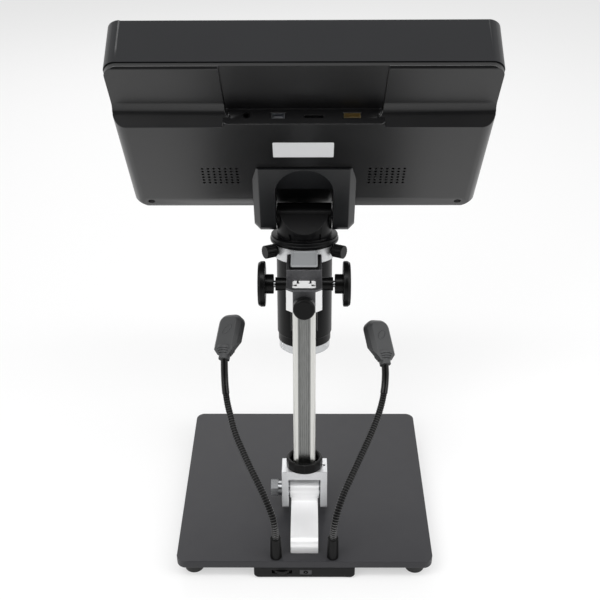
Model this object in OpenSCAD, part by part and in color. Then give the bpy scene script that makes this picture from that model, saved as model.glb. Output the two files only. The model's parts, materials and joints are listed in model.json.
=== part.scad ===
// Desk microscope with its own monitor: weighted base plate with two gooseneck lamps, a tilting
// column, a rack-and-pinion focus carriage, a camera barrel and a hinged 10-inch class screen.
// The user sits on the -Y side; the ports and the column's foot face +Y.

/* [Base plate] */
// Width of the base plate
plate_w = 190; // [170:1:240]
// Depth of the base plate
plate_d = 170; // [160:1:220]
// Thickness of the base plate
plate_t = 6.5; // [5:0.5:10]
// Corner radius of the base plate
plate_r = 7; // [3:0.5:12]
// Height of the rubber feet
foot_h = 11; // [11:0.5:16]
// Diameter of a foot at the plate
foot_d = 19; // [17:1:24]
// Distance of a foot's axis from the plate's edges
foot_inset = 12; // [11:0.5:20]

/* [Lamp control box] */
// Width of the control box
box_w = 75; // [66:1:90]
// Depth of the control box
box_d = 45; // [40:1:60]
// Height of the control box
box_h = 10; // [9:0.5:11]
// Wall of the control box
box_wall = 1.8; // [1.4:0.1:2.4]
// Diameter of the brightness wheel
wheel_d = 17; // [15:0.5:19]
// Thickness of the brightness wheel
wheel_t = 2.6; // [2:0.2:3.2]
// Sideways place of the brightness wheel
wheel_x = 16.7; // [14:0.1:20]
// Width of the power socket
socket_w = 9; // [8:0.5:11]
// Bore of the power socket
socket_bore = 3.6; // [3:0.1:4.4]

/* [Foot bracket and tilt hinge] */
// Width of the foot bracket
bracket_w = 22; // [18:1:26]
// Height of the foot bracket's flat top over the plate
bracket_h = 12; // [9:0.5:13]
// Length of the foot bracket behind the hinge axis
bracket_len = 50; // [40:1:54]
// Distance of the hinge axis behind the plate's centre
hinge_back = 27; // [20:0.5:30]
// Height of the hinge axis over the plate
hinge_h = 18.5; // [18:0.5:22]
// Radius of the bracket's hinge barrel
lug_r = 7.5; // [6.5:0.5:8]
// Diameter of the hinge bolt
bolt_d = 8; // [6:1:8]
// Thickness of a side washer in the hinge
washer_t = 1.2; // [0.6:0.1:1.5]

/* [Clevis and column] */
// Forward lean of the column, in degrees
lean = 10; // [0:1:15]
// Thickness of a clevis ear
ear_t = 4.8; // [4.4:0.1:7]
// Fore-and-aft depth of the clevis
clevis_d = 20; // [18:0.5:22]
// Distance of the clevis web's underside from the hinge axis
web_up = 13.7; // [13:0.1:15]
// Thickness of the clevis web
web_t = 7; // [6:0.5:9]
// Diameter of the ring nut
ring_nut_d = 27.6; // [26:0.2:30]
// Height of the ring nut
ring_nut_h = 8.3; // [6:0.1:10]
// Width of the column's section
column_w = 16.6; // [15:0.2:17]
// Depth of the column's section
column_d = 16; // [15:0.5:17]
// Distance of the column's top end from the hinge axis
column_top = 170; // [168:1:190]

/* [Focus carriage] */
// Width of the clamp block and its guide
block_w = 25.6; // [25:0.1:28]
// Distance of the block's underside from the hinge axis
block_up = 154; // [120:1:156]
// Height of the clamp block
block_h = 17; // [15:0.5:19]
// Height of the slide guide
guide_h = 24; // [22:0.5:28]
// Chamfer on the rear corners of the block
block_chamfer = 5; // [3:0.5:6]
// Width of the sliding bar
slide_w = 19.5; // [18.5:0.1:19.5]
// Depth of the sliding bar
slide_d = 30; // [30:0.5:32]
// Length of the sliding bar
slide_len = 52; // [50:1:56]
// Height of the sliding bar over its guide at rest
slide_over = 3; // [2.5:0.1:4]
// Thickness of the sliding bar's end cap
cap_t = 1.2; // [1:0.1:2]
// Module of the rack and its pinion
gear_m = 0.7; // [0.6:0.05:0.8]
// Teeth on the pinion
pinion_n = 12; // [12:1:12]
// Diameter of the focus shaft
shaft_d = 5; // [4:0.5:6]
// Diameter of a focus knob
knob_d = 33.6; // [28:0.2:36]
// Thickness of a focus knob's disc
knob_t = 5.3; // [4:0.1:8]
// Diameter of the clamp knob
clamp_knob_d = 15.6; // [12:0.2:18]

/* [Microscope head] */
// Distance of the barrel's axis in front of the column's axis
barrel_out = 68; // [66:0.5:74]
// Diameter of the barrel
barrel_d = 43; // [41:0.5:44]
// Length of the barrel under the ring holder
barrel_len = 71.1; // [57:0.1:75]
// Outer diameter of the ring holder
holder_d = 48.4; // [47:0.2:50]
// Height of the ring holder
holder_h = 11.5; // [10:0.5:13]
// Diameter of the flange that rests on the ring holder
flange_d = 52.4; // [50:0.2:56]
// Thickness of that flange
flange_t = 5; // [4:0.5:6]
// Diameter of the neck over the flange
neck_d = 41.6; // [38:0.2:42]
// Distance of the monitor hinge's axis over the flange
neck_up = 14.3; // [14:0.1:20]
// Radius of the neck's hinge barrel
neck_barrel_r = 9.5; // [8:0.5:10]
// Diameter of a thumb screw's head
thumb_d = 10; // [8:0.5:11]
// Angle of the two rear thumb screws from straight behind
thumb_angle = 58; // [50:1:70]

/* [Monitor] */
// Width of the monitor
mon_w = 258; // [250:1:290]
// Height of the monitor
mon_h = 167.7; // [164:0.1:185]
// Depth of the front housing
front_t = 34.7; // [28:0.1:40]
// Depth of the back cover at its thickest
back_t = 16; // [15:0.5:18]
// Depth of the back cover over its upper bay
bay_t = 4.6; // [4.4:0.1:6]
// Corner radius of the monitor
mon_r = 9.5; // [6:0.5:14]
// Wall of the monitor's housings
mon_wall = 2.2; // [1.8:0.1:2.6]
// Tilt of the monitor from upright, in degrees
mon_tilt = 30; // [15:1:60]
// Width of the visible screen
screen_w = 218; // [200:1:224]
// Height of the visible screen
screen_h = 137; // [120:1:138]
// Width of the port recess at its top
port_bay_w = 109; // [104:1:120]
// Distance of the port wall from the top edge
port_wall_down = 44; // [42:0.5:46]
// Diameter of a grille hole
grille_hole = 2; // [1.4:0.1:2.4]
// Diameter of a control button
button_d = 7.4; // [6:0.2:9]
// Travel of a control button
button_travel = 1; // [0.6:0.1:1.2]

/* [Monitor bracket] */
// Width across the monitor bracket's arms
arms_w = 75.6; // [72:0.2:84]
// Width of one arm
arm_w = 17.2; // [14:0.2:20]
// Diameter of the monitor's hinge pin
pin_d = 6; // [5:0.5:7]

/* [Gooseneck lamps] */
// Diameter of a gooseneck hose
hose_d = 5.3; // [4:0.1:6]
// Height of the collar that holds a gooseneck
collar_h = 20; // [14:1:24]
// Length of a lamp head
lamp_len = 39; // [32:1:50]
// Width of a lamp head
lamp_w = 20; // [16:0.5:26]
// Thickness of a lamp head
lamp_t = 8; // [7:0.5:10]

/* [Fits] */
// Radial running clearance of pins and shafts
run = 0.05; // [0.02:0.01:0.1]
// Sliding clearance of flat guides
slide_gap = 0.2; // [0.1:0.05:0.3]
// Gap between parts of moving bodies that pass each other
pass_gap = 0.4; // [0.3:0.05:0.6]

/* [Hidden] */

$fn = 64;
cut = 0.5;                       // how far a cutter runs past a face
plate_top = foot_h + plate_t;
wheel_out = 1.3;
foot_x = plate_w / 2 - foot_inset;
foot_y = plate_d / 2 - foot_inset;
foot_taper = 2.3;

box_bottom = foot_h - box_h;
box_r = 4;
wheel_z = box_bottom + box_h / 2 + 0.4;
wheel_slot_w = 15;
wheel_slot_h = 4;
wheel_bore = 3;
socket_x = -1;
socket_h = 5;
socket_len = 12;
board_t = 1.6;

tail_w = bracket_w - 1.4;
bracket_round = 6;
bracket_rise = 7.5;              // how far the flat top starts behind the hinge axis
foot_screw_d = 5;

clevis_gap = bracket_w + 2 * washer_t + 0.2;
clevis_w = clevis_gap + 2 * ear_t + 0.4;
ear_drop = 11.7;
ear_r = 2;
washer_d = 14;
bolt_head_t = 5.6;
bolt_head_af = 13;
bolt_show = 3;                   // shank that shows between head and ear
nut_t = 4;                       // nut let into the ear, flush with its outer face
web_top = web_up + web_t;
stub_d = 20.2;
stub_h = ring_nut_h + 0.3;
channel_w = 8.8;
channel_deep = 2.5;
column_screw_d = 6;

guide_top = block_up + guide_h;
block_rear = 13;
guide_rear = 9;
slide_rear = 10;
slide_front = slide_rear + slide_d;
slide_mid = slide_rear + slide_d / 2;
guide_front = slide_front + 4;
lip_drop = 10;
slide_top = guide_top + slide_over;
slide_bottom = slide_top - slide_len;
arm_gap_w = 15;
arm_w_slide = arm_gap_w - 2 * pass_gap;
pinion_up = block_up + 8;
pinion_out = slide_rear + 12;
pitch_r = gear_m * pinion_n / 2;
gear_w = 8;
rack_w = gear_w + 1;
rack_back = 3.9;
slot_front = pinion_out + pitch_r + rack_back;
slot_rear = pinion_out - pitch_r - 2.4 * gear_m;
slot_top = slide_top - 3;
slot_bottom = slide_bottom + 4;
bushing_d = gear_m * (pinion_n + 2) + 0.2;
bushing_len = 8.3;
bushing_reach = block_w / 2 + bushing_len - slide_w / 2 - slide_gap - 0.1;
knob_hub_d = 14.5;
knob_hub_t = 6;
knob_gap = 1.3;
knob_in = block_w / 2 + bushing_len + knob_gap;
clamp_screw_d = 6;
clamp_knob_t = 9;
clamp_knob_up = block_up + 6.5;

holder_up = guide_top - 9.3;
holder_bore = barrel_d + 2 * run;
flange_up = holder_up + holder_h + 0.4;
neck_base = flange_up + flange_t;
neck_axis = neck_base + neck_up;
barrel_bottom = holder_up - barrel_len;
thumb_len = 8.5;
thumb_up = holder_up + holder_h / 2 + 2.1;
thumb_screw_d = 4;
thumb_angles = [180 - thumb_angle, 180 + thumb_angle, 0];

mon_hinge_up = 17.3;             // hinge axis over the monitor's bottom edge
mon_hinge_back = 20.3;           // hinge axis behind the seam of the housings
mon_top = mon_h - mon_hinge_up;
seam = -mon_hinge_back;
mon_front = seam - front_t;
crease_up = mon_top - 47.2;      // edge between ramp and lower block
skirt_up = 35.6 - mon_hinge_up;  // where the underside starts behind the bracket's arms
belly_up = skirt_up - 12.9;      // lower end of the block's gentle curve outside the arms
belly_in = 1.1;
ramp_angle = 60;
ramp_r = 9;
cover_inset = 0.8;
port_wall = mon_top - port_wall_down;
bay_back = seam + bay_t;
port_floor = seam + 3;
block_back = seam + back_t;
ramp_foot = crease_up + (back_t - bay_t - ramp_r * (1 - cos(ramp_angle))) / tan(ramp_angle);
recess_up = 46.4 - mon_hinge_up; // top of the recess that the neck swings in
recess_back = block_back - 6.5;
recess_slope = 2;
boss_x = mon_w / 2 - 14;
boss_z = 29.3 - mon_hinge_up;
boss_seat = 2.5;                 // seam to the seat of a cover screw's head
board_y = seam + 4.6;
board_w = 128;
board_low = 40;
board_high = port_wall - 7.2;
port_y = board_y + board_t + 2.2;
jack_x = 38.4;
usb_x = 17.2;
card_x = -6.8;
video_x = -32.4;
screen_drop = 11;                // bezel over the screen
panel_t = 5;
screen_mid = mon_top - screen_drop - screen_h / 2;
grille_x = [60.5, -59.3];
grille_top = mon_top - 104;
button_x = [62, 42, -42, -62];
button_up = 9.5 - mon_hinge_up;
button_proud = 0.8;
flange_lip = 1.2;                // how far a button's rim reaches past its hole

arm_in = neck_d / 2 + pass_gap;
arms_out = arms_w / 2;
knuckle_r = 11;
bracket_plate_t = 1.6;
bracket_top = 73.6 - mon_hinge_up;
bracket_plate_low = 48.8 - mon_hinge_up;
bracket_chamfer = 4.7;
arch_web = 1.2;                  // least height of the web over the arch
arch_up = bracket_top - arch_web - arm_in;
top_back = block_back + bracket_plate_t;
face_angle = atan2(bracket_top, top_back) - acos(knuckle_r / norm([top_back, bracket_top]));

// the part is centred front to back, between the screen's lower edge and the wheel's rim
front_reach = hinge_back - neck_axis * sin(lean) - barrel_out * cos(lean)
    + mon_front * cos(mon_tilt) - mon_hinge_up * sin(mon_tilt);
rear_reach = plate_d / 2 + wheel_out;
plate_y = -(front_reach + rear_reach) / 2;
plate_rear = plate_y + plate_d / 2;
hinge_y = plate_y + hinge_back;
bracket_rear = hinge_y + bracket_len;
foot_screw_y = [hinge_y + 18, hinge_y + 40];
box_y = plate_rear - box_d / 2;
wheel_y = plate_rear + wheel_out - wheel_d / 2;

collar_d = 8.6;
collar_x = 21;
collar_y = plate_rear - 5.5;
route_rear = 85;                 // rear edge and top of the plate in the routes' own frame
route_top = 17.5;
hose_start = 34 - route_top;
route_left = [[21, 79.5, 34], [21.2, 79.5, 42], [21.8, 79.2, 49], [23, 77, 55], [25.5, 73, 60.5],
    [29, 67.5, 66.5], [34.5, 59, 73.5], [40, 50, 79.5], [46, 39, 86], [51.5, 28.5, 93],
    [55.5, 17.5, 101], [58, 10, 107], [59.6, 3, 115], [60.3, -3.5, 123], [60.5, -10, 134]];
route_right = [[-21, 79.5, 34], [-21.2, 79.5, 42], [-22, 78.8, 50], [-23.6, 75.5, 57], [-25.7, 71.3, 62],
    [-29, 65, 68], [-32.5, 59, 72.5], [-38, 49, 78.5], [-43.5, 39, 84.5], [-49, 28.5, 90.5],
    [-53.5, 19.5, 96], [-57.5, 10.5, 103], [-60, 3, 110.5], [-61.3, -5, 120], [-61, -10, 129]];
route_shift = [0, plate_rear - route_rear, plate_top - route_top];
lamp_turn = [-10, 12];
lamp_rise = 31;
lamp_roll = [14, -14];
head_gap = 0.3;

// ---------------------------------------------------------------- shared shapes

function arc(cx, cy, r, a0, a1, n) = [for (i = [0:n]) let (a = a0 + (a1 - a0) * i / n)
    [cx + r * cos(a), cy + r * sin(a)]];

module rounded_rect(w, d, r) {
    square([w - 2 * r, d], center = true);
    square([w, d - 2 * r], center = true);
    for (x = [-1, 1], y = [-1, 1])
        translate([x * (w / 2 - r), y * (d / 2 - r)]) circle(r);
}

module rounded_slab(w, d, h, r) {
    linear_extrude(h) rounded_rect(w, d, r);
}

// a slab that stands upright: width along X, height along Z, thickness towards +Y
module upright_slab(w, h, t, r) {
    translate([0, t, 0]) rotate([90, 0, 0]) rounded_slab(w, h, t, r);
}

// a side profile in (Y, Z), extruded along X about the middle plane
module side_extrude(w) {
    rotate([90, 0, 90]) translate([0, 0, -w / 2]) linear_extrude(w) children();
}

module x_cylinder(d, l) {
    rotate([0, 90, 0]) cylinder(d = d, h = l, center = true);
}

// frame on the hinge axis: Z runs up the column, -Y points to the user
module column_frame() {
    translate([0, hinge_y, plate_top + hinge_h]) rotate([lean, 0, 0]) children();
}

// frame on the barrel's axis at the height of the monitor hinge
module head_frame() {
    column_frame() translate([0, -barrel_out, 0]) children();
}

// frame on the monitor hinge's axis: Z runs up the screen, +Y out of its back
module monitor_frame() {
    head_frame() translate([0, 0, neck_axis]) rotate([-mon_tilt - lean, 0, 0]) children();
}

// a round knob edge with shallow flutes
module fluted(d, t, n, depth) {
    difference() {
        cylinder(d = d, h = t);
        for (i = [0:n - 1])
            rotate([0, 0, 360 * i / n]) translate([d / 2 + depth, 0, -cut])
                cylinder(r = 2 * depth, h = t + 2 * cut, $fn = 16);
    }
}

// ---------------------------------------------------------------- base

module base_plate() {
    color([0.13, 0.13, 0.14]) difference() {
        translate([0, plate_y, foot_h]) rounded_slab(plate_w, plate_d, plate_t, plate_r);
        for (y = foot_screw_y) translate([0, y, foot_h]) screw_hole(foot_screw_d, plate_t);
    }
}

module screw_hole(d, t) {
    translate([0, 0, -cut]) cylinder(d = d, h = t + 2 * cut);
    translate([0, 0, -0.01]) cylinder(d1 = 2 * d, d2 = d, h = d / 2);
}

module base_feet() {
    color([0.06, 0.06, 0.06]) for (x = [-1, 1], y = [-1, 1])
        translate([x * foot_x, plate_y + y * foot_y, 0]) rotate_extrude()
            polygon([[0, 0], [foot_d / 2 - foot_taper - 0.4, 0], [foot_d / 2 - foot_taper, 0.4],
                [foot_d / 2, foot_h], [0, foot_h]]);
}

module box_outline(w, h, r) {
    translate([-w / 2, r]) square([w, h - r]);
    translate([-w / 2 + r, 0]) square([w - 2 * r, r + 0.01]);
    for (x = [-1, 1]) translate([x * (w / 2 - r), r]) circle(r);
}

module control_box() {
    color([0.09, 0.09, 0.1]) difference() {
        translate([0, box_y + box_d / 2, box_bottom]) rotate([90, 0, 0])
            linear_extrude(box_d) box_outline(box_w, box_h, box_r);
        translate([-box_w / 2 + box_wall + box_r / 2, box_y - box_d / 2 + box_wall, box_bottom + box_wall])
            cube([box_w - 2 * box_wall - box_r, box_d - 2 * box_wall, box_h]);
        translate([wheel_x - wheel_slot_w / 2, plate_rear - 2 * box_wall, wheel_z - wheel_slot_h / 2])
            cube([wheel_slot_w, 3 * box_wall, wheel_slot_h]);
        translate([socket_x - socket_w / 2, plate_rear - 2 * box_wall, box_bottom + 2.2])
            cube([socket_w, 3 * box_wall, socket_h]);
    }
}

module power_socket() {
    color([0.3, 0.3, 0.31]) difference() {
        translate([socket_x - socket_w / 2 + 0.05, plate_rear - 0.4 - socket_len, box_bottom + 2.25])
            cube([socket_w - 0.1, socket_len, socket_h - 0.1]);
        translate([socket_x, plate_rear + 0.2, box_bottom + 2.2 + socket_h / 2])
            rotate([90, 0, 0]) difference() {
                cylinder(d = socket_bore, h = socket_len - 2);
                cylinder(d = socket_bore / 3, h = socket_len);
            }
    }
}

module driver_board() {
    front = box_y - box_d / 2 + 4;
    deep = box_d - 22;
    low = box_bottom + box_wall;
    color([0.05, 0.3, 0.15]) translate([-box_w / 2 + 10, front, low]) cube([box_w - 20, deep, board_t]);
    // potentiometer under the wheel, with the spindle that carries it
    color([0.2, 0.2, 0.2]) translate([wheel_x, wheel_y, 0]) {
        translate([-4, -4, low]) cube([8, 8, wheel_z - wheel_t / 2 - 0.2 - low]);
        translate([0, 0, wheel_z - wheel_t / 2 - 0.3]) cylinder(d = wheel_bore, h = wheel_t + 0.9);
    }
    // lead-in block that joins the potentiometer and the board
    color([0.2, 0.2, 0.2]) translate([wheel_x - 4, front + deep - 0.2, low])
        cube([8, wheel_y - 3.6 - front - deep, board_t]);
}

module brightness_wheel() {
    color([0.16, 0.16, 0.17]) translate([wheel_x, wheel_y, wheel_z - wheel_t / 2]) difference() {
        fluted(wheel_d, wheel_t, 30, 0.35);
        translate([0, 0, -cut]) cylinder(d = wheel_bore + 2 * run, h = wheel_t + 2 * cut);
    }
}

module bracket_profile() {
    polygon(concat([[hinge_y - lug_r, 0], [bracket_rear, 0]],
        arc(bracket_rear - bracket_round, bracket_h - bracket_round, bracket_round, 0, 90, 8),
        [[hinge_y + bracket_rise, bracket_h], [hinge_y + lug_r * 0.86, hinge_h - lug_r * 0.5],
            [hinge_y, hinge_h], [hinge_y - lug_r, hinge_h]]));
    translate([hinge_y, hinge_h]) circle(lug_r);
}

module foot_bracket() {
    color([0.8, 0.8, 0.82]) difference() {
        translate([0, 0, plate_top]) {
            side_extrude(tail_w) bracket_profile();
            side_extrude(bracket_w) translate([hinge_y, hinge_h]) circle(lug_r);
        }
        translate([0, hinge_y, plate_top + hinge_h]) x_cylinder(bolt_d + 2 * run, bracket_w + 2 * cut);
        for (y = foot_screw_y) translate([0, y, plate_top - cut]) cylinder(d = foot_screw_d - 0.4, h = 7 + cut);
    }
}

module foot_screws() {
    color([0.6, 0.6, 0.62]) for (y = foot_screw_y) translate([0, y, foot_h]) difference() {
        union() {
            cylinder(d1 = 2 * foot_screw_d - 0.2, d2 = foot_screw_d - 0.6, h = foot_screw_d / 2);
            cylinder(d = foot_screw_d - 0.6, h = plate_t + 6);
        }
        translate([0, 0, -0.01]) cylinder(d = 3, h = 1.8, $fn = 6);
    }
}

module gooseneck_collars() {
    color([0.07, 0.07, 0.07]) for (x = [-1, 1]) translate([x * collar_x, collar_y, plate_top]) difference() {
        rotate_extrude() polygon([[0, 0], [collar_d / 2, 0], [collar_d / 2 - 0.4, collar_h - 0.8],
            [collar_d / 2 - 1, collar_h], [0, collar_h]]);
        translate([0, 0, hose_start - 0.02]) cylinder(d = hose_d + 0.3, h = collar_h);
    }
}

// a smooth way through route points
function spline(p, i, t) = let (n = len(p) - 1, a = p[max(i - 1, 0)], b = p[i], c = p[min(i + 1, n)],
    d = p[min(i + 2, n)]) 0.5 * (2 * b + (c - a) * t + (2 * a - 5 * b + 4 * c - d) * t * t + (3 * b - a - 3 * c + d) * t * t * t);

function dense(p) = concat([for (i = [0:len(p) - 2], t = [0, 0.5]) spline(p, i, t)], [p[len(p) - 1]]);

function unit(v) = v / norm(v);

// tube of diameter d along the points p, with n sides
module hose(p, d, n) {
    q = [for (v = dense(p)) v + route_shift];
    m = len(q) - 1;
    side = [1, 0, 0];
    ring = [for (i = [0:m]) let (t = unit(q[min(i + 1, m)] - q[max(i - 1, 0)]), u = unit(side - t * (side * t)),
        v = cross(t, u)) for (k = [0:n - 1]) q[i] + d / 2 * (u * cos(360 * k / n) + v * sin(360 * k / n))];
    walls = [for (i = [0:m - 1], k = [0:n - 1])
        [i * n + k, (i + 1) * n + k, (i + 1) * n + (k + 1) % n, i * n + (k + 1) % n]];
    polyhedron(ring, concat(walls, [[for (k = [0:n - 1]) k], [for (k = [n - 1:-1:0]) m * n + k]]), convexity = 6);
}

module gooseneck_left() {
    color([0.1, 0.1, 0.1]) hose(route_left, hose_d, 10);
}

module gooseneck_right() {
    color([0.1, 0.1, 0.1]) hose(route_right, hose_d, 10);
}

// ---------------------------------------------------------------- lamps

// frame at the end of gooseneck i: -Y runs along the head, +Z out of its back
module lamp_frame(i) {
    end = i == 0 ? route_left[len(route_left) - 1] : route_right[len(route_right) - 1];
    translate(end + route_shift) rotate([0, 0, lamp_turn[i]]) rotate([-lamp_rise, 0, 0])
        rotate([0, lamp_roll[i], 0]) children();
}

module lamp_plan(inset) {
    r = 8 - inset;
    w = lamp_w / 2 - inset;
    far = -lamp_len + inset;
    polygon(concat([[3.6, 4]], [[4.6, -3], [w - 0.8, -12 - inset], [w, -15 - inset]],
        arc(w - r, far + r, r, 0, -90, 8), arc(-w + r, far + r, r, -90, -180, 8),
        [[-w, -15 - inset], [-w + 0.8, -12 - inset], [-4.6, -3], [-3.6, 4]]));
}

module lamp_side() {
    t = lamp_t / 2;
    polygon(concat([[5, -3.4], [5, 3.4]], arc(-8, 0, t, 70, 90, 2), arc(-lamp_len + 4, t - 3.4, 3.4, 90, 180, 6),
        arc(-lamp_len + 3, -t + 2.4, 2.4, 180, 270, 4), [[-10, -t], [-3, -3.4]]));
}

module lamp_shell(i) {
    lamp_frame(i) difference() {
        intersection() {
            translate([0, 0, -lamp_t]) linear_extrude(2 * lamp_t) lamp_plan(0);
            side_extrude(2 * lamp_w) lamp_side();
        }
        translate([0, -lamp_len / 2 - 6.5, -lamp_t / 2 - cut]) rounded_slab(lamp_w - 5, lamp_len - 18, 3 + cut, 3);
        translate([0, -lamp_len / 2 - 5, lamp_t / 2 + 8]) scale([1, 1.35, 1]) sphere(r = 8.5);
    }
}

module lamp_head_left() {
    color([0.11, 0.11, 0.12]) lamp_shell(0);
}

module lamp_head_right() {
    color([0.11, 0.11, 0.12]) lamp_shell(1);
}

module lamp_lenses() {
    color([0.9, 0.92, 0.92]) for (i = [0, 1]) lamp_frame(i)
        translate([0, -lamp_len / 2 - 6.5, -lamp_t / 2]) rounded_slab(lamp_w - 5.2, lamp_len - 18.2, 1.4, 2.9);
}

module lamp_led_boards() {
    color([0.95, 0.93, 0.7]) for (i = [0, 1]) lamp_frame(i)
        translate([0, -lamp_len / 2 - 6.5, -lamp_t / 2 + 1.4]) {
            translate([0, 0, 0.6]) rounded_slab(lamp_w - 6, lamp_len - 19, 1, 2);
            for (x = [-3.5, 3.5], y = [-6, 0, 6]) translate([x - 1.4, y - 1.4, 0.01]) cube([2.8, 2.8, 0.7]);
        }
}

// ---------------------------------------------------------------- tilt hinge and column

module clevis() {
    color([0.85, 0.85, 0.87]) column_frame() difference() {
        side_extrude(clevis_w) union() {
            translate([-clevis_d / 2, -ear_drop + ear_r]) square([clevis_d, ear_drop - ear_r + web_top]);
            translate([-clevis_d / 2 + ear_r, -ear_drop]) square([clevis_d - 2 * ear_r, 2 * ear_r]);
            for (y = [-1, 1]) translate([y * (clevis_d / 2 - ear_r), -ear_drop + ear_r]) circle(ear_r);
        }
        translate([-clevis_gap / 2, -clevis_d, -2 * ear_drop])
            cube([clevis_gap, 2 * clevis_d, 2 * ear_drop + web_up]);
        translate([-clevis_w / 2 - cut, 0, 0]) rotate([0, 90, 0])
            cylinder(d = (bolt_head_af + 0.1) / cos(30), h = nut_t + cut, $fn = 6);
        x_cylinder(bolt_d + 2 * run, clevis_w + 2 * cut);
        translate([0, 0, web_up]) screw_hole(column_screw_d, web_t);
        translate([-clevis_w / 2 + ear_t / 2, 0, web_top - 6]) cylinder(d = 2.4, h = 6 + cut);
    }
}

module hinge_bolt() {
    color([0.75, 0.75, 0.77]) column_frame() {
        translate([clevis_w / 2 + bolt_show, 0, 0]) rotate([0, 90, 0])
            cylinder(d = bolt_head_af / cos(30), h = bolt_head_t, $fn = 6);
        translate([bolt_show / 2, 0, 0]) x_cylinder(bolt_d, clevis_w + bolt_show - 0.4);
    }
}

module hinge_washers() {
    color([0.7, 0.7, 0.72]) column_frame() {
        for (x = [-1, 1]) translate([x * (bracket_w / 2 + washer_t / 2 + 0.05), 0, 0])
            washer(washer_d, bolt_d, washer_t);
        translate([clevis_w / 2 + bolt_show / 2, 0, 0]) washer(11, bolt_d, bolt_show);
    }
}

module washer(d, bore, t) {
    difference() {
        x_cylinder(d, t);
        x_cylinder(bore + 2 * run, t + 2 * cut);
    }
}

module hinge_nut() {
    color([0.75, 0.75, 0.77]) column_frame() translate([-clevis_w / 2 + 0.1, 0, 0]) difference() {
        rotate([0, 90, 0]) cylinder(d = bolt_head_af / cos(30), h = nut_t - 0.1, $fn = 6);
        x_cylinder(bolt_d + 2 * run, 3 * nut_t);
    }
}

module ring_nut() {
    bore = stub_d / 2 + 0.15;
    color([0.12, 0.12, 0.13]) column_frame() translate([0, 0, web_top]) intersection() {
        rotate_extrude() polygon([[bore, 0], [ring_nut_d / 2 - 0.8, 0], [ring_nut_d / 2, 0.8],
            [ring_nut_d / 2, ring_nut_h - 0.8], [ring_nut_d / 2 - 0.8, ring_nut_h],
            [bore + 1.6, ring_nut_h], [bore, ring_nut_h - 1.6]]);
        translate([0, 0, -cut]) cylinder(d = ring_nut_d * 1.01, h = ring_nut_h + 2 * cut, $fn = 12);
    }
}

// extruded section: ribbed channel behind, T-slots in the sides, undercut slots in front
module column_section() {
    difference() {
        rounded_rect(column_w, column_d, 2);
        translate([-channel_w / 2, column_d / 2 - channel_deep]) square([channel_w, channel_deep + cut]);
        for (x = [-1, 1]) {
            translate([x * column_w / 2 - 2, -1.2]) square([4, 2.4]);
            translate([x * (column_w / 2 - 2.2) - 1, -2.2]) square([2, 4.4]);
            translate([x * 4.6 - 0.7, -column_d / 2 - cut]) square([1.4, 3.6 + cut]);
            translate([x * 4.3, -column_d / 2 + 3.8]) circle(1.5);
        }
    }
    for (x = [-3:1.5:3]) translate([x, column_d / 2 - channel_deep - 0.1]) circle(0.45);
}

module column() {
    color([0.82, 0.82, 0.84]) column_frame() difference() {
        union() {
            translate([0, 0, web_top]) linear_extrude(stub_h) intersection() {
                column_section();
                circle(d = stub_d);
            }
            translate([0, 0, web_top + stub_h - 0.01]) linear_extrude(column_top - web_top - stub_h + 0.01)
                column_section();
        }
        translate([0, 0, web_top - cut]) cylinder(d = column_screw_d, h = 15 + cut);
    }
}

module column_screw() {
    color([0.6, 0.6, 0.62]) column_frame() translate([0, 0, web_up]) difference() {
        union() {
            cylinder(d1 = 2 * column_screw_d - 0.2, d2 = column_screw_d - 0.2, h = column_screw_d / 2 - 0.1);
            cylinder(d = column_screw_d - 0.2, h = web_t + 14);
        }
        translate([0, 0, -0.01]) cylinder(d = 4, h = 2.4, $fn = 6);
    }
}

// ---------------------------------------------------------------- focus carriage

module block_plan() {
    w = block_w / 2;
    c = block_chamfer;
    polygon([[-w + c, block_rear], [w - c, block_rear], [w, block_rear - c], [w, -guide_front + 1],
        [w - 1, -guide_front], [-w + 1, -guide_front], [-w, -guide_front + 1], [-w, block_rear - c]]);
}

module clamp_block() {
    color([0.5, 0.5, 0.52]) column_frame() difference() {
        translate([0, 0, block_up]) linear_extrude(guide_h) block_plan();
        translate([-block_w, -guide_rear, block_up + block_h]) cube([2 * block_w, 40, guide_h]);
        // the guide's lips end lower, so the head's flange can pass them
        translate([-block_w, -guide_front - cut, guide_top - lip_drop])
            cube([2 * block_w, guide_front - slide_front - 1.2, lip_drop + cut]);
        translate([0, 0, block_up - cut]) rounded_slab(column_w + 2 * slide_gap, column_d + 2 * slide_gap,
            guide_h, 2);
        translate([-slide_w / 2 - slide_gap, -slide_front - slide_gap, block_up - cut])
            cube([slide_w + 2 * slide_gap, slide_d + 2 * slide_gap, guide_h + 2 * cut]);
        translate([-arm_gap_w / 2, -guide_front - cut, block_up - cut])
            cube([arm_gap_w, guide_front - slide_front + cut, guide_h + 2 * cut]);
        translate([0, -pinion_out, pinion_up]) x_cylinder(bushing_d, block_w + 2 * cut);
        translate([0, 0, clamp_knob_up]) rotate([-90, 0, 0]) cylinder(d = clamp_screw_d + 2 * run, h = 2 * block_rear);
    }
}

module shaft_bushings() {
    color([0.08, 0.08, 0.08]) column_frame() for (x = [-1, 1])
        translate([x * (slide_w / 2 + slide_gap + 0.1 + bushing_reach / 2), -pinion_out, pinion_up])
            washer(bushing_d - 0.04, shaft_d, bushing_reach);
}

module clamp_knob() {
    color([0.05, 0.05, 0.05]) column_frame() translate([0, column_d / 2 + slide_gap / 2, clamp_knob_up])
        rotate([-90, 0, 0]) {
            cylinder(d = clamp_screw_d, h = block_rear);
            translate([0, 0, block_rear - column_d / 2 + 1.2]) rotate_extrude() polygon(concat(
                [[0, 0], [4, 0], [4, 1.5]], arc(clamp_knob_d / 2 - 1, 2.5, 1, -90, 0, 3),
                arc(clamp_knob_d / 2 - 1.6, clamp_knob_t - 1.6, 1.6, 0, 90, 4), [[0, clamp_knob_t]]));
        }
}

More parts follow.
